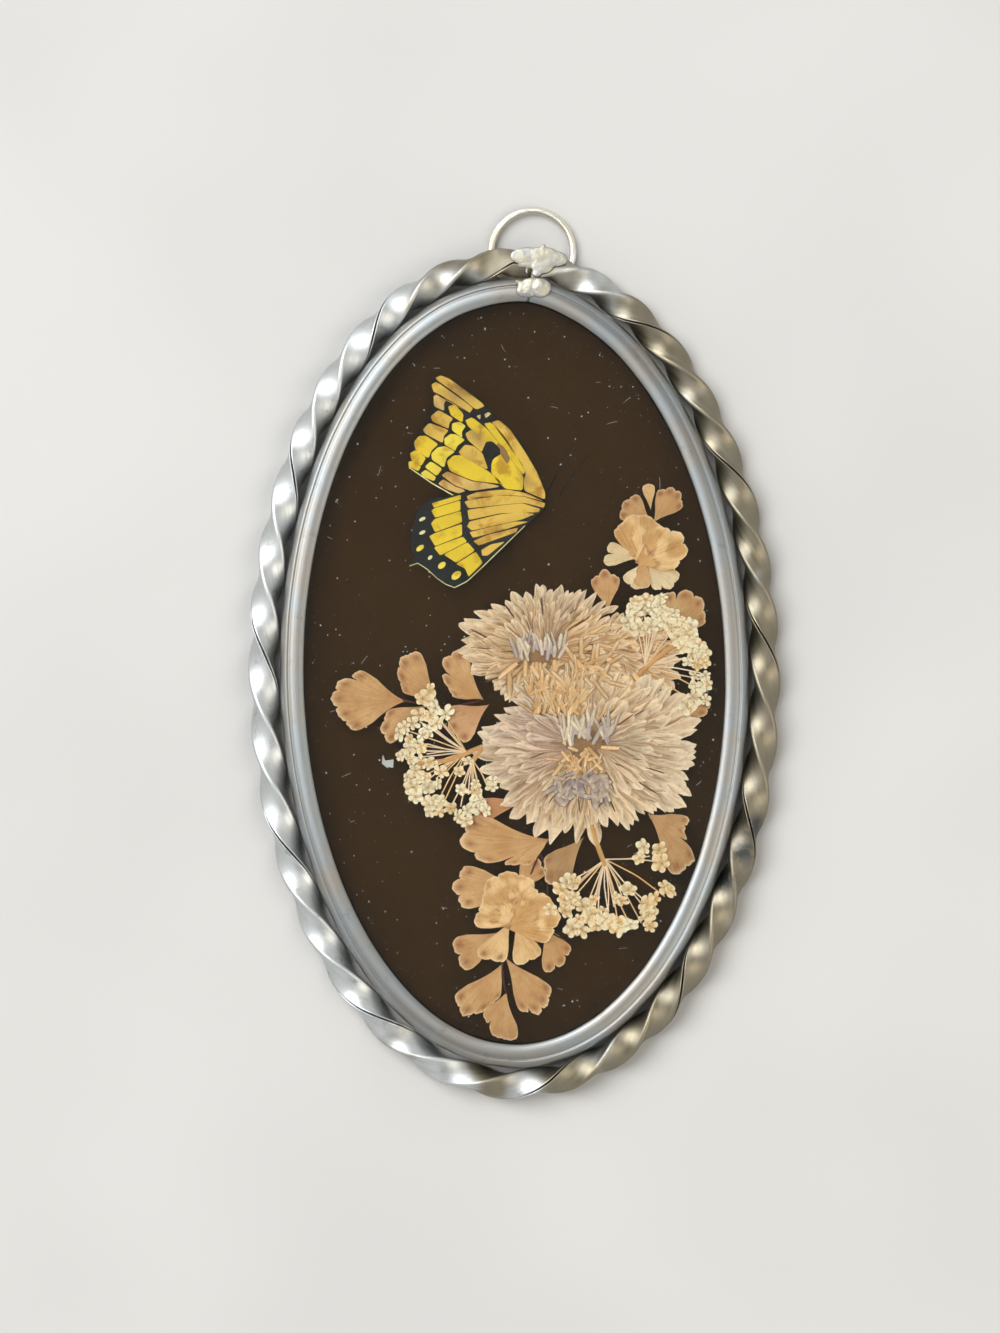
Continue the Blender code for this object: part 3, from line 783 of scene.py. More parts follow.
FERN_TAN = rgb(220, 177, 122)
FERN_PALE = rgb(244, 208, 150)
FERN_GREEN = rgb(240, 220, 176)
FERN_BROWN = rgb(164, 108, 64)
FERN_RIM = rgb(252, 232, 192)
FERN_FOLD_SHADE = np.array((0.76, 0.62, 0.46))
STEM_DARK = rgb(92, 52, 42)
SIDE_CUT = 0.28
FERN_LOW = low_mm("fern_left")[2] + 0.06
FERN_HIGH = low_mm("fern_leaf_upper")[2] + 0.06


def leaflet(pieces, seed, base, heading, length, spread, lobes, height=FERN_LOW, colour=FERN_TAN, notch=0.07,
            flare=0.45, spots=True, folded=False):
    """A fan-shaped leaflet. lobes lists each lobe's reach and notch the cuts between them, both as shares of
    length; flare narrows the fan near its base. A folded one is creased, broad at its base and unspotted."""
    count = len(lobes)
    flare, lift, scale = (0.0, 0.5, 0.42) if folded else (flare, 0.25, 0.3)
    u = np.linspace(0, 1, 15 * count + 1)
    v = np.linspace(0, 1, 20)[:, None]
    which = np.minimum((u * count).astype(int), count - 1)
    local = 2 * (u * count - which) - 1
    middles = (np.arange(count) + 0.5) / count
    cuts = np.concatenate(([SIDE_CUT], np.broadcast_to(notch, count - 1), [SIDE_CUT]))
    depth = np.where(local < 0, cuts[which], cuts[which + 1])
    reach = np.interp(u, middles, lobes)
    curve = 1 - np.sqrt(1 - np.abs(local) ** 2.6)
    rim = length * (reach - depth * curve + 0.006 * np.sin(local * 9 + seed))
    direction = np.radians(heading + spread * (u - 0.5) * (1 - flare * (1 - v) ** 1.3))
    x = base[0] + v * rim * np.cos(direction)
    y = base[1] + v * rim * np.sin(direction)
    wave = ripple(x, y, scale, seed * 3.7)
    z = height + lift * (0.5 + 0.9 * wave) * smooth(v, 0.1, 0.7) + 0.05 * smooth(v, 0.85, 1.0)
    # Painted shade and light follow the ripples: low parts darker, the highest parts of a flat leaflet a
    # little lighter.
    tints = blend(colour, colour * FERN_FOLD_SHADE, smooth(0.55 - 1.5 * wave) if folded else 0.6 * (0.5 - wave))
    if folded:
        # Painted shade: a dark brown line along each crease of a folded leaflet.
        tints = blend(tints, FERN_BROWN, 0.75 * (np.exp(-((wave / 0.05) ** 2)) * smooth(1 - v, 0.1, 0.5)))
    tints = blend(tints, FERN_RIM, 0.6 * smooth(v, 0.95, 1.0))
    if spots and not folded:
        for middle in middles:
            off = ((u - middle) * math.radians(spread) * length * 0.85) ** 2
            along = ((v - 0.88) * length) ** 2
            tints = blend(tints, FERN_BROWN, 0.92 * np.exp(-(off + along) / 0.4))
    tints = blend(tints, FERN_BROWN, 0.35 * smooth(1 - v, 0.8, 1.0))
    pieces.grid(np.stack((x, y, pieces.pressed(z)), -1), tints)


def stem(pieces, points, height, radius=0.2, tint=STEM_DARK, flat=0.5):
    """A stalk through these points, smoothed into one curve."""
    points = np.asarray(points, float)
    marks = np.linspace(0, 1, len(points))
    fine = np.linspace(0, 1, 8 * len(points))
    route = np.stack([np.interp(fine, marks, points[:, k]) for k in range(2)], 1)
    for _ in range(6):
        route[1:-1] = (route[:-2] + 2 * route[1:-1] + route[2:]) / 4
    pieces.tube(np.c_[route, np.full(len(route), height)], radius, tint, flat=flat)


def left_spray(look):
    spray = Pieces()
    leaflet(spray, 1, (-19.2, -8.8), 178, 13.5, 70, (0.76, 0.94, 1.0, 0.92, 0.82),
            notch=(0.16, 0.05, 0.06, 0.04))
    leaflet(spray, 2, (-13.4, -8.9), 138, 10.4, 60, (0.95, 1.0, 0.86, 0.66), notch=(0.02, 0.05, 0.05))
    leaflet(spray, 3, (-15.2, -9.5), 207, 9.9, 44, (0.78, 0.98, 1.0), notch=0.05)
    leaflet(spray, 4, (-5.2, -8.6), 144, 10.4, 68, (0.98, 1.0, 0.8, 0.56), notch=(0.05, 0.22, 0.05))
    leaflet(spray, 5, (-4.2, -9.4), 212, 8.6, 62, (0.9, 1.0, 0.96), FERN_LOW, FERN_TAN * (0.96, 0.9, 1.0))
    route = ((-19.8, -8.6), (-17.3, -9.2), (-15.0, -9.4), (-12.0, -9.9), (-8.8, -9.4), (-6.0, -8.8))
    stem(spray, route, FERN_LOW)
    spray.make("fern_spray_left", look, "fern", "fern_left")


def top_spray(look):
    spray = Pieces()
    leaflet(spray, 8, (24.8, 25.4), 96, 4.8, 36, (1.0,), FERN_LOW, FERN_PALE, spots=False)
    leaflet(spray, 9, (24.9, 23.4), 146, 6.2, 66, (0.92, 1.0, 0.94))
    leaflet(spray, 10, (25.2, 23.2), 55, 7.4, 60, (0.84, 1.0, 0.98, 0.82))
    green = FERN_LOW + 0.1
    leaflet(spray, 13, (23.0, 16.9), 172, 6.7, 48, (0.94, 1.0), green, FERN_GREEN, 0.22, spots=False)
    leaflet(spray, 14, (23.7, 16.4), 238, 5.4, 50, (0.96, 1.0), green, FERN_GREEN, spots=False)
    leaflet(spray, 16, (23.9, 16.4), 312, 6.8, 62, (0.82, 1.0, 0.98), green, FERN_GREEN, (0.14, 0.06),
            spots=False)
    over = FERN_HIGH + 0.1
    leaflet(spray, 15, (23.4, 18.0), 268, 6.6, 36, (1.0,), over, flare=0.0, spots=False)
    leaflet(spray, 11, (23.0, 15.4), 92, 9.4, 82, (0.84, 0.98, 1.0, 0.86), over, FERN_PALE, 0.03, folded=True)
    leaflet(spray, 12, (21.9, 16.0), 22, 10.2, 78, (0.72, 0.96, 0.98, 0.8), FERN_HIGH + 0.15, FERN_PALE, 0.07,
            folded=True)
    stem(spray, ((24.6, 18.5), (24.0, 15.0), (23.7, 10.4), (23.4, 7.6)), FERN_LOW)
    spray.make("fern_spray_top", look, "fern", "fern_top")


def bottom_spray(look):
    spray = Pieces()
    leaflet(spray, 17, (6.6, -33.6), 198, 16.2, 76, (0.94, 1.0, 0.8, 0.52, 0.38),
            notch=(0.05, 0.08, 0.24, 0.04))
    leaflet(spray, 29, (3.0, -26.5), 192, 9.8, 30, (0.92, 1.0), FERN_LOW, FERN_TAN * (0.98, 0.82, 0.84), 0.1)
    leaflet(spray, 18, (2.6, -42.6), 178, 13.6, 44, (0.9, 1.0, 0.9))
    leaflet(spray, 19, (0.4, -43.2), 54, 7.4, 52, (0.9, 1.0, 0.94))
    leaflet(spray, 22, (-1.1, -50.1), 207, 10.4, 44, (0.96, 1.0), notch=0.1)
    leaflet(spray, 25, (5.4, -49.4), 298, 8.2, 60, (1.0, 0.94, 0.8), notch=0.12)
    leaflet(spray, 26, (-1.9, -56.0), 240, 11.8, 58, (0.9, 1.0, 0.8, 0.54), notch=0.04)
    leaflet(spray, 27, (-1.4, -54.8), 306, 12.0, 46, (0.86, 1.0, 0.96, 0.86), notch=(0.1, 0.06, 0.03))
    leaflet(spray, 28, (-1.1, -61.0), 253, 8.8, 68, (0.7, 0.94, 1.0), notch=(0.16, 0.02),
            spots=False)
    leaflet(spray, 23, (-0.6, -48.6), 243, 8.2, 50, (1.0, 0.88), FERN_HIGH, FERN_PALE, flare=0.1)
    leaflet(spray, 24, (0.6, -48.8), 290, 7.4, 54, (1.0, 0.96), FERN_HIGH + 0.05, FERN_PALE, flare=0.1,
            spots=False)
    leaflet(spray, 20, (1.6, -49.0), 128, 10.2, 116, (0.84, 0.98, 1.0, 0.8, 0.84), FERN_HIGH + 0.1, FERN_PALE,
            0.04, folded=True)
    leaflet(spray, 21, (-1.6, -49.4), 22, 10.4, 92, (0.82, 1.0, 0.94, 0.84), FERN_HIGH + 0.15, FERN_PALE,
            0.06, folded=True)
    stem(spray, ((4.7, -35.5), (6.0, -39.0), (6.3, -43.4)), FERN_LOW, 0.16)
    route = ((4.7, -36.3), (3.0, -40.5), (0.0, -47.0), (-1.8, -54.6), (-1.9, -57.4), (-1.2, -61.4))
    stem(spray, route, FERN_LOW)
    stem(spray, ((5.0, -36.4), (9.0, -41.2)), FERN_LOW, 0.12)
    spray.make("fern_spray_bottom", look, "fern", "fern_bottom")


LOOSE_LEAFLETS = {  # shade, notch, then the fan: seed, base, heading, length, spread, lobes
    "upper": (1.0, 0.08, 30, (17.1, 7.2), 95, 7.8, 56, (0.84, 1.0, 0.84)),
    "upper_right": (0.94, (0.06, 0.08, 0.2, 0.05), 31, (27.8, 3.2), 66, 8.9, 108,
                    (0.82, 1.0, 0.98, 0.84, 0.82)),
    "right": (0.96, 0.05, 32, (27.4, -8.7), -12, 8.2, 54, (0.8, 0.95, 1.0, 0.88)),
    "lower_right": (0.9, (0.03, 0.22, 0.05), 33, (24.2, -29.0), -36, 12.2, 70, (1.0, 0.98, 0.6, 0.62)),
    "lower": (0.72, 0.05, 34, (12.8, -33.2), 229, 10.6, 48, (0.8, 1.0, 1.0)),
}


def loose_leaflets(look):
    for side, (shade, notch, *fan) in LOOSE_LEAFLETS.items():
        leaf = Pieces()
        leaflet(leaf, *fan, FERN_HIGH, FERN_TAN * shade, notch)
        leaf.make("leaflet_" + side, look, "fern", "fern_leaf_" + side)


def build_ferns():
    look = dry_look("fern_leaf", 0.62, (26, 1.2, 1), 1.0, 0.34, 1.0, rgb(208, 170, 128))
    left_spray(look)
    top_spray(look)
    bottom_spray(look)
    loose_leaflets(look)


# ---------------------------------------------------------------- flower heads

PETAL_CREAM = rgb(255, 240, 206)
PETAL_TAN = rgb(254, 218, 160)
PETAL_GREY = rgb(244, 218, 184)
PETAL_GOLD = rgb(246, 198, 130)
PETAL_BROWN = rgb(232, 182, 122)
PETAL_ORANGE = rgb(226, 180, 126)
LAVENDER = rgb(190, 174, 176)
PETAL_BLUSH = rgb(222, 194, 182)
PETAL_SHADE = np.array((0.56, 0.47, 0.38))


def rim_distance(node, centre, headings):
    """How far the node's pressed outline, an ellipse, lies from a point inside it."""
    half = (high_mm(node) - low_mm(node))[:2] / 2
    start = (centre - spot(node, 0.5, 0.5)) / half
    turn = np.radians(headings)
    way = np.stack((np.cos(turn), np.sin(turn)), -1) / half
    a, b, c = (way * way).sum(-1), way @ start, start @ start - 1
    return (-b + np.sqrt(np.maximum(b * b - a * c, 0))) / a


def ray_floret(pieces, node, centre, rng, heading, tip, start, teeth, spread, height, tone):
    """One ray floret: a funnel pressed into a pleated fan with pointed teeth. tip and start are shares of the
    way from the head's middle to its rim."""
    u = np.linspace(0, 1, 12 * teeth + 1)
    v = np.linspace(0, 1, 15)[:, None]
    which = np.minimum((u * teeth).astype(int), teeth - 1)
    side = np.abs(2 * (u * teeth - which) - 1)
    direction = heading + spread * (u - 0.5) * (0.4 + 0.6 * v) + rng.uniform(-10, 10) * v * v
    whole = rim_distance(node, centre, heading + spread * (u - 0.5))
    cleft = rng.uniform(0.07, 0.19, teeth + 1)
    depth = np.where(2 * (u * teeth - which) < 1, cleft[which], cleft[which + 1])
    reach = rng.uniform(0.88, 1.02, teeth)[which] * tip * (1 - depth * side**1.3)
    radius = whole * (start + (reach - start) * v)
    turn = np.radians(direction)
    x, y = centre[0] + radius * np.cos(turn), centre[1] + radius * np.sin(turn)
    sway = ripple(x, y, 0.24, 5.0, noise.noise_vector)
    tremor = ripple(x, y, 0.8, 9.0, noise.noise_vector)
    x = x + 0.9 * sway[..., 0] + 0.2 * tremor[..., 0]
    y = y + 0.9 * sway[..., 1] + 0.2 * tremor[..., 1]
    fold = ripple(*np.meshgrid(u * teeth * 2.4, v[:, 0] * 1.1), 1, rng.uniform(0, 90))
    z = height + GRID_STEP * pieces.grids + 0.12 * (1 - side**2) * (0.3 + 0.7 * v) + 0.14 * fold
    tints = blend(tone, tone * PETAL_SHADE, 0.8 * smooth(1 - v, 0.3, 1.0))
    tints = blend(tints, tone * PETAL_SHADE**2, 0.7 * smooth(side, 0.7, 1.0) * smooth(v, 0.2, 0.7))
    tints = blend(tints, tone * PETAL_SHADE, 0.9 * smooth(fold, 0.0, 0.36))
    tints = blend(tints, PETAL_CREAM, 0.5 * np.exp(-((side - 0.35) / 0.2) ** 2) * (0.1 + 0.9 * v))
    crease = 0.85 * np.exp(-((fold / 0.045) ** 2))
    tints = blend(tints, tone * PETAL_SHADE**2, crease * smooth(1.05 - v, 0.0, 0.35))
    tints = blend(tints, PETAL_CREAM, 0.6 * smooth(v, 0.86, 1.0))
    pieces.grid(np.stack((x, y, pieces.pressed(z)), -1), tints)


def ring(pieces, node, centre, rng, headings, tip, start, teeth, spread, height, tone):
    """Ray florets side by side, none quite like the next."""
    for heading in rng.permutation(headings):
        heading += rng.uniform(-7, 7)
        ray_floret(pieces, node, centre, rng, heading, tip * rng.uniform(0.9, 1.02),
                   start * rng.uniform(0.8, 1.2), teeth + int(rng.integers(-1, 2)),
                   spread * rng.uniform(0.8, 1.25), height, tone(heading, rng) * rng.uniform(0.74, 1.06))


def shaded_slits(pieces, node, centre, rng, count, height):
    """Dark strips laid between the florets: painted shade in the slits where the head's inside shows."""
    for heading in rng.uniform(0, 360, count):
        reach = rim_distance(node, centre, heading) * rng.uniform(0.24, 0.6)
        turn = math.radians(heading)
        where = centre + reach * np.array((math.cos(turn), math.sin(turn)))
        petal(pieces, where, heading + rng.uniform(-16, 16), rng.uniform(1.4, 4.2), rng.uniform(0.16, 0.36),
              height, PETAL_BROWN * 0.3, rng, mouth=0.0)


def petal(pieces, base, heading, length, width, height, colour, rng, mouth=0.6):
    """A small narrow floret lying on its side: painted shade along its edges, cream at its mouth."""
    v = np.linspace(0, 1, 9)[:, None]
    s = np.linspace(-1, 1, 7)[None, :]
    half = width / 2 * np.sqrt(np.clip(1 - np.abs(1.7 * v - 0.8) ** 2.4, 0.03, 1))
    turn = math.radians(heading)
    along, aside = v * length, s * half + rng.uniform(-0.1, 0.1) * length * v * v
    x = base[0] + along * math.cos(turn) - aside * math.sin(turn)
    y = base[1] + along * math.sin(turn) + aside * math.cos(turn)
    z = height + GRID_STEP * pieces.grids + 0.1 * (1 - s * s) + 0.04 * np.sin(v * 3)
    tints = blend(colour, PETAL_CREAM, mouth * smooth(v, 0.5, 1.0))
    tints = blend(tints, colour * PETAL_SHADE**2, 0.9 * smooth(np.abs(s), 0.45, 1.0))
    pieces.grid(np.stack((x, y, pieces.pressed(z)), -1), tints * rng.uniform(0.8, 1.05))


def heap(pieces, rng, centre, height, count, scatter, heading, turn, lengths, widths, first, second):
    """Small florets heaped over the middle of a head."""
    for _ in range(count):
        where = centre + rng.uniform(-1, 1, 2) * scatter
        petal(pieces, where, heading + rng.normal(0, turn), rng.uniform(*lengths), rng.uniform(*widths),
              height + rng.uniform(0, 0.08), blend(first, second, rng.uniform(0, 1)), rng)


def receptacle(pieces, node, centre, share, height):
    """The dark flattened base that holds a head's florets together."""
    turn = np.arange(0, 360, 12)
    reach = rim_distance(node, centre, turn)[:, None] * share
    outline = reach * np.stack((np.cos(np.radians(turn)), np.sin(np.radians(turn))), 1)
    pieces.plate(centre + outline, height, PETAL_BROWN * 0.45)


def near_heading(heading, middle, reach):
    """1 at the middle heading and less away from it; both headings count in the same turn."""
    return math.exp(-((heading - middle) / reach) ** 2)


def behind_tone(heading, rng):
    return blend(PETAL_ORANGE, PETAL_GOLD, rng.uniform(0, 1))


def upper_tone(heading, rng):
    tone = blend(PETAL_TAN, PETAL_GREY, rng.uniform(0, 0.5))
    tone = blend(tone, PETAL_BLUSH, rng.uniform(0, 0.5))
    tone = blend(tone, PETAL_GOLD, 0.9 * near_heading((heading + 180) % 360 - 180, -5, 50))
    return blend(tone, PETAL_BROWN, min(1.0, 0.8 * near_heading(heading, 218, 26) + rng.uniform(0, 0.3)))


def lower_tone(heading, rng):
    right = near_heading((heading + 180) % 360 - 180, -15, 45)
    tone = blend(PETAL_TAN, PETAL_BROWN, rng.uniform(0, 0.5))
    tone = blend(tone, PETAL_BLUSH, 0.7 * near_heading(heading % 360, 170, 50) + rng.uniform(0, 0.3))
    return blend(tone, PETAL_GREY, min(1.0, 0.9 * right + rng.uniform(0, 0.4)))


def flower_head(node, look, seed, middle, sink, base, tone, rings, slits=0, heaps=()):
    """A pressed head whose middle lies at these fractions of its node's box. Each ring lists its headings
    (first, end, step), tip, start, teeth, spread and lift. Each heap lists its place, lift, count, scatter,
    heading, turn, lengths, widths and two colours."""
    rng = np.random.default_rng(seed)
    head = Pieces()
    centre = spot(node, *middle)
    level = low_mm(node)[2] - sink
    receptacle(head, node, centre, base, level)
    for headings, tip, start, teeth, spread, lift in rings:
        ring(head, node, centre, rng, np.arange(*headings), tip, start, teeth, spread, level + lift, tone)
    # Painted shade: dark strips in the slits between the florets.
    shaded_slits(head, node, centre, rng, slits, level + 0.12)
    for aside, lift, *florets in heaps:
        heap(head, rng, centre + aside, level + lift, *florets)
    head.make(node.replace("flower", "flower_head"), look, "petals", node)


BEHIND_RINGS = (
    ((-100, 200, 30), 1.08, 0.12, 5, 42, 0.0),
    ((-90, 270, 40), 0.84, 0.1, 4, 46, 0.05),
    ((-90, 270, 60), 0.56, 0.0, 4, 60, 0.1),
)
UPPER_RINGS = (
    ((-60, 300, 27), 1.05, 0.2, 5, 42, 0.0),
    ((5, 250, 30), 0.92, 0.18, 5, 42, 0.04),
    ((-50, 310, 40), 0.7, 0.12, 4, 44, 0.08),
)
UPPER_HEAPS = (
    ((0.2, 0.0), 0.12, 30, (4.2, 1.4), 90, 14, (2.0, 4.0), (0.6, 1.0), LAVENDER, PETAL_CREAM),
    ((0.0, -2.4), 0.1, 36, (5.4, 1.6), 262, 30, (2.0, 4.6), (0.7, 1.3), PETAL_ORANGE, PETAL_TAN),
    ((9.4, -1.4), 0.12, 34, (3.2, 3.6), 20, 60, (1.8, 4.0), (0.7, 1.3), PETAL_ORANGE, PETAL_TAN),
)
LOWER_RINGS = (
    ((0, 360, 26), 1.06, 0.18, 5, 42, 0.0),
    ((16, 376, 36), 0.92, 0.18, 5, 44, 0.04),
    ((0, 360, 40), 0.66, 0.12, 4, 46, 0.08),
)
LOWER_HEAPS = (
    ((0.0, 0.8), 0.12, 40, (4.4, 1.6), 90, 26, (2.0, 4.6), (0.6, 1.1), LAVENDER, PETAL_CREAM),
    ((-1.2, -3.0), 0.12, 40, (4.0, 2.2), 265, 40, (1.6, 3.4), (0.5, 1.0), PETAL_BROWN, PETAL_TAN),
    ((-5.6, 7.6), 0.14, 110, (4.8, 3.0), 96, 34, (1.6, 3.8), (0.5, 1.0), PETAL_BROWN, PETAL_TAN),
    ((-0.9, -8.0), 0.14, 60, (4.8, 2.2), 270, 60, (1.4, 2.6), (0.8, 1.5), LAVENDER * 0.75, PETAL_GREY * 0.8),
)


def build_flowers():
    look = dry_look("dry_petal", 0.6, (9, 0.7, 1), 1.6, 0.35, 1.6, rgb(190, 152, 112))
    flower_head("flower_behind", look, 3, (0.16, 0.6), 0.15, 0.5, behind_tone, BEHIND_RINGS)
    flower_head("flower_upper", look, 5, (0.45, 0.41), 0.24, 0.6, upper_tone, UPPER_RINGS, 26, UPPER_HEAPS)
    flower_head("flower_lower", look, 8, (0.49, 0.57), 0.3, 0.62, lower_tone, LOWER_RINGS, 34, LOWER_HEAPS)


# ---------------------------------------------------------------- umbels

FLORET_CREAM = rgb(255, 247, 212)
FLORET_GOLD = rgb(250, 208, 138)
FLORET_SHADE = FLORET_GOLD * (0.5, 0.4, 0.3)
STALK_STRAW = rgb(240, 196, 130)
STALK_PALE = rgb(252, 232, 204)
STALK_BROWN = rgb(216, 166, 104)


def floret(pieces, x, y, height, size, rng, gold):
    """A tiny dried flower seen from above: five round lobes, crumpled and tilted, with painted shade and
    highlights.
    """
    tone = blend(FLORET_CREAM, FLORET_GOLD, np.clip(rng.normal(gold, 0.25), 0, 1)) * rng.uniform(0.88, 1.05)
    turn = np.linspace(0, 2 * math.pi, 25, endpoint=False)
    v = np.linspace(0.05, 1, 6)[:, None]
    lobe = np.abs(np.cos(2.5 * turn + rng.uniform(0, 3)))
    reach = size * (0.55 + 0.45 * lobe**0.6) * (1 + 0.2 * np.sin(turn + rng.uniform(0, 6)))
    squash, slant = rng.uniform(0.6, 1.0), rng.uniform(0, math.pi)
    across, along = v * reach * np.cos(turn), v * reach * np.sin(turn) * squash
    px = x + across * math.cos(slant) - along * math.sin(slant)
    py = y + across * math.sin(slant) + along * math.cos(slant)
    cup = rng.uniform(-0.3, 0.4)
    pz = height + cup * v * v + rng.uniform(-0.18, 0.18) * across / size + 0.28 * lobe * v
    fold = ripple(px, py, 1.3, slant * 9)
    pz = pieces.pressed(pz + 0.2 * fold)
    # Painted shade: darker in the middle, in the dips between the lobes and along the folds.
    tints = blend(tone, FLORET_SHADE, 0.75 * smooth(1 - v, 0.55, 0.95))
    tints = blend(tints, FLORET_SHADE, 0.95 * smooth(1 - lobe, 0.5, 0.95) * smooth(v, 0.2, 0.6))
    tints = blend(tints, FLORET_SHADE, 0.6 * np.exp(-((fold / 0.05) ** 2)) * smooth(1.1 - v, 0.0, 0.4))
    # Painted highlight: cream on the lobes' raised rims.
    tints = blend(tints, FLORET_CREAM, 0.85 * smooth(v, 0.6, 1.0) * smooth(lobe, 0.3, 0.8))
    pieces.grid(np.stack((px, py, pz), -1), tints, around=True)


def umbel(node, look, seed, hub, trunk, rays, cluster, sizes, gold):
    """Florets on thin rays from a hub: rays lists (heading, length) of each; gold is how browned they are."""
    rng = np.random.default_rng(seed)
    pieces = Pieces()
    level = low_mm(node)[2] + 0.1
    hub = np.array(hub)
    stem(pieces, trunk, min(level + 0.35, GAP_HIGH - 0.5), 0.48, STALK_BROWN)
    for heading, length in rays:
        turn = math.radians(heading)
        end = hub + length * np.array((math.cos(turn), math.sin(turn)))
        aside = np.array((-math.sin(turn), math.cos(turn))) * rng.uniform(-0.05, 0.05) * length
        tone = blend(STALK_STRAW, STALK_PALE, rng.uniform(0, 1))
        stem(pieces, (hub, hub * 0.5 + end * 0.5 + aside, end), level + rng.uniform(0.1, 0.3), 0.13, tone)
        for _ in range(cluster):
            x, y = end + rng.normal(0, 0.9, 2)
            floret(pieces, x, y, level + rng.uniform(0.1, 0.6), rng.uniform(*sizes), rng, gold)
    pieces.make(node.replace("umbel", "umbel_florets"), look, "florets", node)


def fan_rays(rng, first, last, count, length):
    """Rays between two headings, spaced and cut a little unevenly."""
    headings = np.linspace(first, last, count) + rng.uniform(-3, 3, count)
    return [(heading, length * rng.uniform(0.9, 1.1)) for heading in headings]


def build_umbels():
    look = dry_look("dry_floret", 0.65, (4, 1.5, 1), 1.0, 0.2, 2.0, rgb(214, 178, 124))
    rng = np.random.default_rng(21)
    rays = fan_rays(rng, 120, 248, 14, 10.6) + fan_rays(rng, 130, 222, 6, 7.6)
    trunk = ((-5.4, -17.0), (-8.6, -18.3), (-12.0, -19.6), (-17.0, -20.0))
    umbel("umbel_left", look, 22, (-8.4, -17.9), trunk, rays, 2, (1.1, 1.8), 0.35)
    rays = fan_rays(rng, 248, 276, 4, 8.8) + fan_rays(rng, 262, 296, 4, 6.0) + [(212, 2.4)]
    trunk = ((-5.6, -17.4), (-6.2, -18.2), (-7.2, -19.6))
    umbel("umbel_left_small", look, 23, (-7.2, -19.4), trunk, rays, 2, (0.9, 1.5), 0.1)
    rays = fan_rays(rng, 222, 232, 3, 10.8) + fan_rays(rng, 250, 298, 7, 12.2)
    rays += fan_rays(rng, 246, 296, 5, 8.4)
    rays += [(309, 12.0), (314, 11.0), (328, 12.6), (4, 8.0), (-3, 10.6), (212, 7.2)]
    trunk = ((14.2, -31.0), (14.8, -33.6), (16.6, -38.4))
    umbel("umbel_lower", look, 24, (16.6, -37.2), trunk, rays, 2, (1.2, 2.0), 0.6)
    rays = fan_rays(rng, -36, 104, 14, 10.8) + fan_rays(rng, 10, 96, 6, 8.2)
    trunk = ((22.4, -4.2), (25.0, -1.8), (28.0, 0.5), (31.0, 2.0))
    umbel("umbel_right", look, 25, (23.8, -2.6), trunk, rays, 3, (1.0, 1.7), 0.3)


# ---------------------------------------------------------------- dust


SPECKS = 900
FIBRES = 26
CHIP_CORNER = np.array((-23.3, -18.6))
CHIP_OUTLINE = ((0, 0), (0.4, -0.9), (1.9, -0.7), (1.8, -2.2), (0.7, -2.0), (-0.1, -1.4))
CHIP_EDGE = ((0, 0), (-0.1, -1.4), (0.9, -2.2))


def speck(pieces, rng):
    angle, inward = rng.uniform(0, 2 * math.pi), rng.uniform(0, 1)
    edge, _ = oval(angle, -5.2)
    place = OVAL_MIDDLE + (edge - OVAL_MIDDLE) * (1 - inward * inward * 0.95)
    size = 0.04 + 0.15 * rng.uniform(0, 1) ** 4
    turn = np.linspace(0, 2 * math.pi, 6, endpoint=False) + rng.uniform(0, 1)
    wobble = size * rng.uniform(0.6, 1.3, 6)
    outline = place + np.stack((wobble * np.cos(turn), wobble * np.sin(turn)), 1)
    pieces.plate(outline, GAP_LOW + 0.012, WHITE)


def fibre(pieces, rng):
    edge, _ = oval(rng.uniform(0, 2 * math.pi), -5.6)
    place = OVAL_MIDDLE + (edge - OVAL_MIDDLE) * rng.uniform(0.7, 1.0)
    heading, bend = rng.uniform(0, math.pi), rng.uniform(-0.4, 0.4)
    share = np.linspace(0, 1, 6)
    run = rng.uniform(0.8, 2.2) * share
    route = place + np.stack((run * math.cos(heading) - bend * share**2 * math.sin(heading),
                              run * math.sin(heading) + bend * share**2 * math.cos(heading)), 1)
    pieces.tube(np.c_[route, np.full(6, GAP_LOW + 0.04)], 0.03, WHITE, sides=4)


def build_dust():
    """Specks and short fibres that lie on the back pane inside the came."""
    look = Look("dust", 0.8)
    tone = look.noise(look.coords(), 2.0)
    look.put("Base Color", look.mix(look.ramp(tone, 0.3, 0.7), rgb(176, 176, 170), rgb(250, 250, 244)))
    rng = np.random.default_rng(11)
    dust = Pieces()
    for _ in range(SPECKS):
        speck(dust, rng)
    for _ in range(FIBRES):
        fibre(dust, rng)
    dust.make("dust_specks", look.material, "clear_glass", smooth_shade=False)


def build_chip():
    """A small clear chip with one bright edge."""
    chip = Pieces()
    chip.plate(CHIP_CORNER + CHIP_OUTLINE, GAP_LOW + 0.05, WHITE)
    chip.tube([(*(CHIP_CORNER + place), GAP_LOW + 0.12) for place in CHIP_EDGE], 0.12, WHITE)
    look = Look("chip", 0.35, Base_Color=rgb(196, 198, 192))
    chip.make("clear_chip", look.material, "clear_glass", smooth_shade=False)


# ---------------------------------------------------------------- stage


FLOOR_HALF = 1.5
FLOOR_DROP = 0.0002
SOFTBOXES = {  # place, size, power, colour
    "window": ((-1.01, 0.76, 1.8), 1.75, 62.0, (0.97, 0.98, 1.0)),
    "lamp": ((1.03, -0.51, 1.64), 1.4, 15.0, (1.0, 0.92, 0.8)),
}
ROOM_COLOUR = (0.93, 0.935, 0.94, 1)
ROOM_FADE = {"From Min": 0.45, "From Max": 0.97, "To Min": 1.0, "To Max": 0.12}
CAMERA_PLACE = (-0.0023, -0.0026, 0.703)
CAMERA_DISTANCE = 0.7
CAMERA_SENSOR = 36
VIEW_HEIGHT = 0.2394


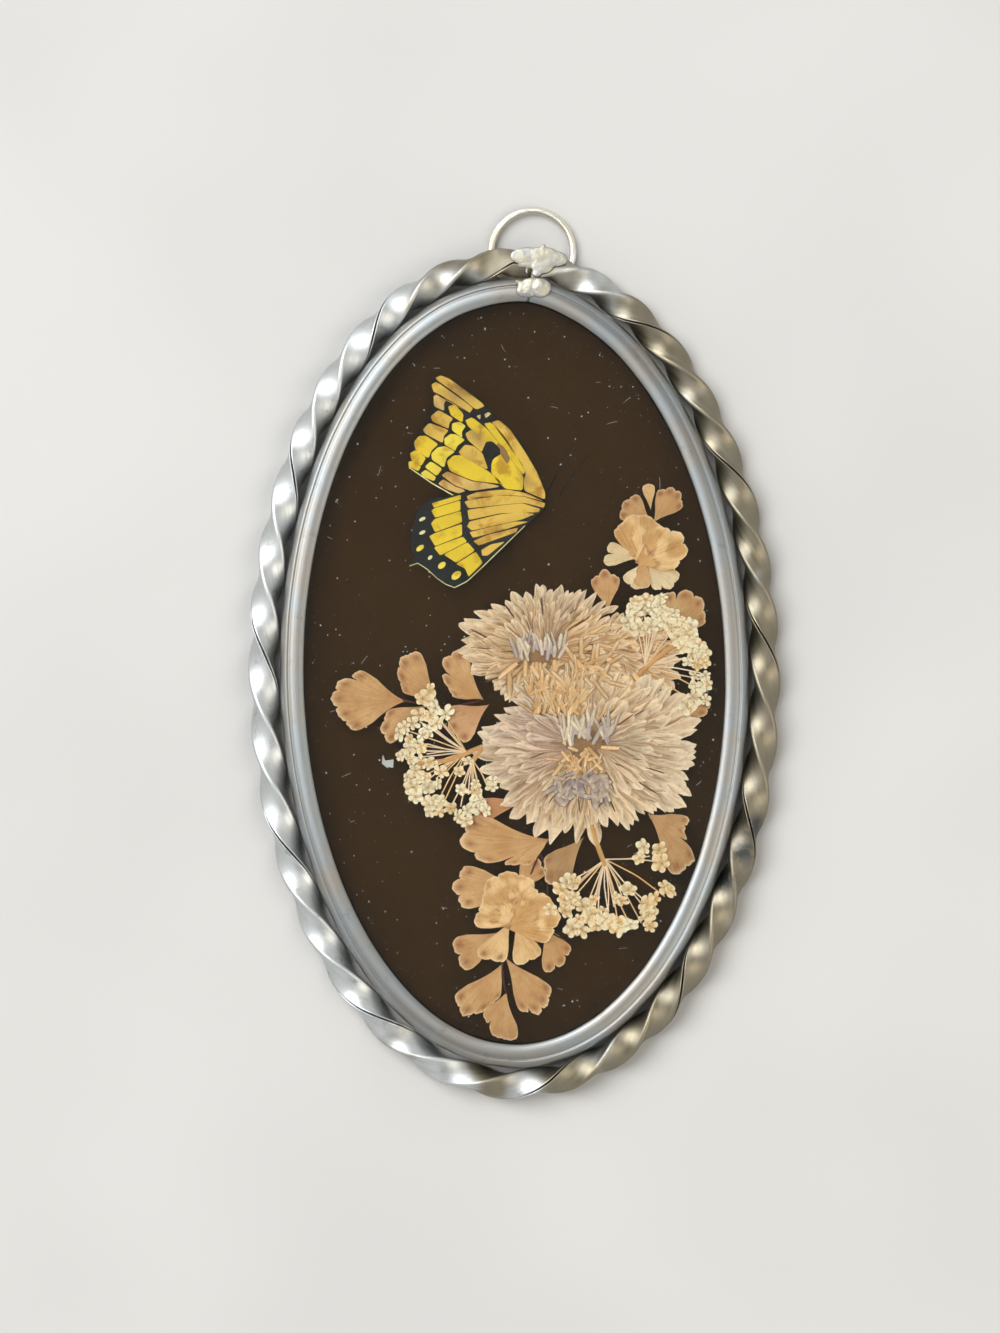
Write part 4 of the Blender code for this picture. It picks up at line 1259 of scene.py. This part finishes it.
def build_floor():
    look = Look("pale_floor", 0.75)
    cloud = look.noise(look.coords(), 0.01, detail=2)
    look.put("Base Color", look.mix(look.ramp(cloud, 0.3, 0.7), rgb(176, 175, 172), rgb(182, 181, 178)))
    mesh = bpy.data.meshes.new("floor")
    corners = [(x * FLOOR_HALF, y * FLOOR_HALF, 0) for x, y in ((-1, -1), (1, -1), (1, 1), (-1, 1))]
    mesh.from_pydata(corners, [], [(0, 1, 2, 3)])
    mesh.materials.append(look.material)
    floor = link_new("floor", mesh)
    floor.location.z = -FLOOR_DROP


def build_lights():
    """Two round soft lights that face the middle of the frame."""
    for name, (place, size, power, colour) in SOFTBOXES.items():
        light = bpy.data.lights.new(name, "AREA")
        light.shape = "DISK"
        light.size = size
        light.energy = power
        light.color = colour
        obj = link_new(name, light)
        obj.location = place
        obj.rotation_euler = (-Vector(place)).to_track_quat("-Z", "Y").to_euler()


def build_room():
    """A pale room whose light fades overhead, so the panes mirror a dim ceiling."""
    world = bpy.data.worlds.new("soft_room")
    bpy.context.scene.world = world
    world.use_nodes = True
    nodes, links = world.node_tree.nodes, world.node_tree.links
    direction = nodes.new("ShaderNodeTexCoord")
    split = nodes.new("ShaderNodeSeparateXYZ")
    fade = nodes.new("ShaderNodeMapRange")
    fade.interpolation_type = "SMOOTHSTEP"
    for socket, number in ROOM_FADE.items():
        fade.inputs[socket].default_value = number
    links.new(direction.outputs["Generated"], split.inputs[0])
    links.new(split.outputs["Z"], fade.inputs["Value"])
    links.new(fade.outputs[0], nodes["Background"].inputs["Strength"])
    nodes["Background"].inputs["Color"].default_value = ROOM_COLOUR


def build_camera():
    camera = bpy.data.cameras.new("camera")
    camera.sensor_fit = "VERTICAL"
    camera.sensor_height = CAMERA_SENSOR
    camera.lens = CAMERA_SENSOR * CAMERA_DISTANCE / VIEW_HEIGHT
    obj = link_new("camera", camera)
    obj.location = CAMERA_PLACE
    bpy.context.scene.camera = obj
    bpy.context.scene.view_settings.view_transform = "Standard"


def dress_panes():
    """Gives the CAD panes, which stay in the scene, their glass."""
    panes = {
        "glass_front": glass_look("clear_glass", (0.99, 1.0, 0.99), 0.06),
        "glass_back": glass_look("bronze_glass", (0.42, 0.3, 0.155), 0.05),
    }
    for node, material in panes.items():
        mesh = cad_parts[node].data
        mesh.materials.clear()
        mesh.materials.append(material)


build_came()
build_border()
build_loop()
build_solder()
dress_panes()
build_butterfly()
build_ferns()
build_flowers()
build_umbels()
build_dust()
build_chip()
build_floor()
build_lights()
build_room()
build_camera()
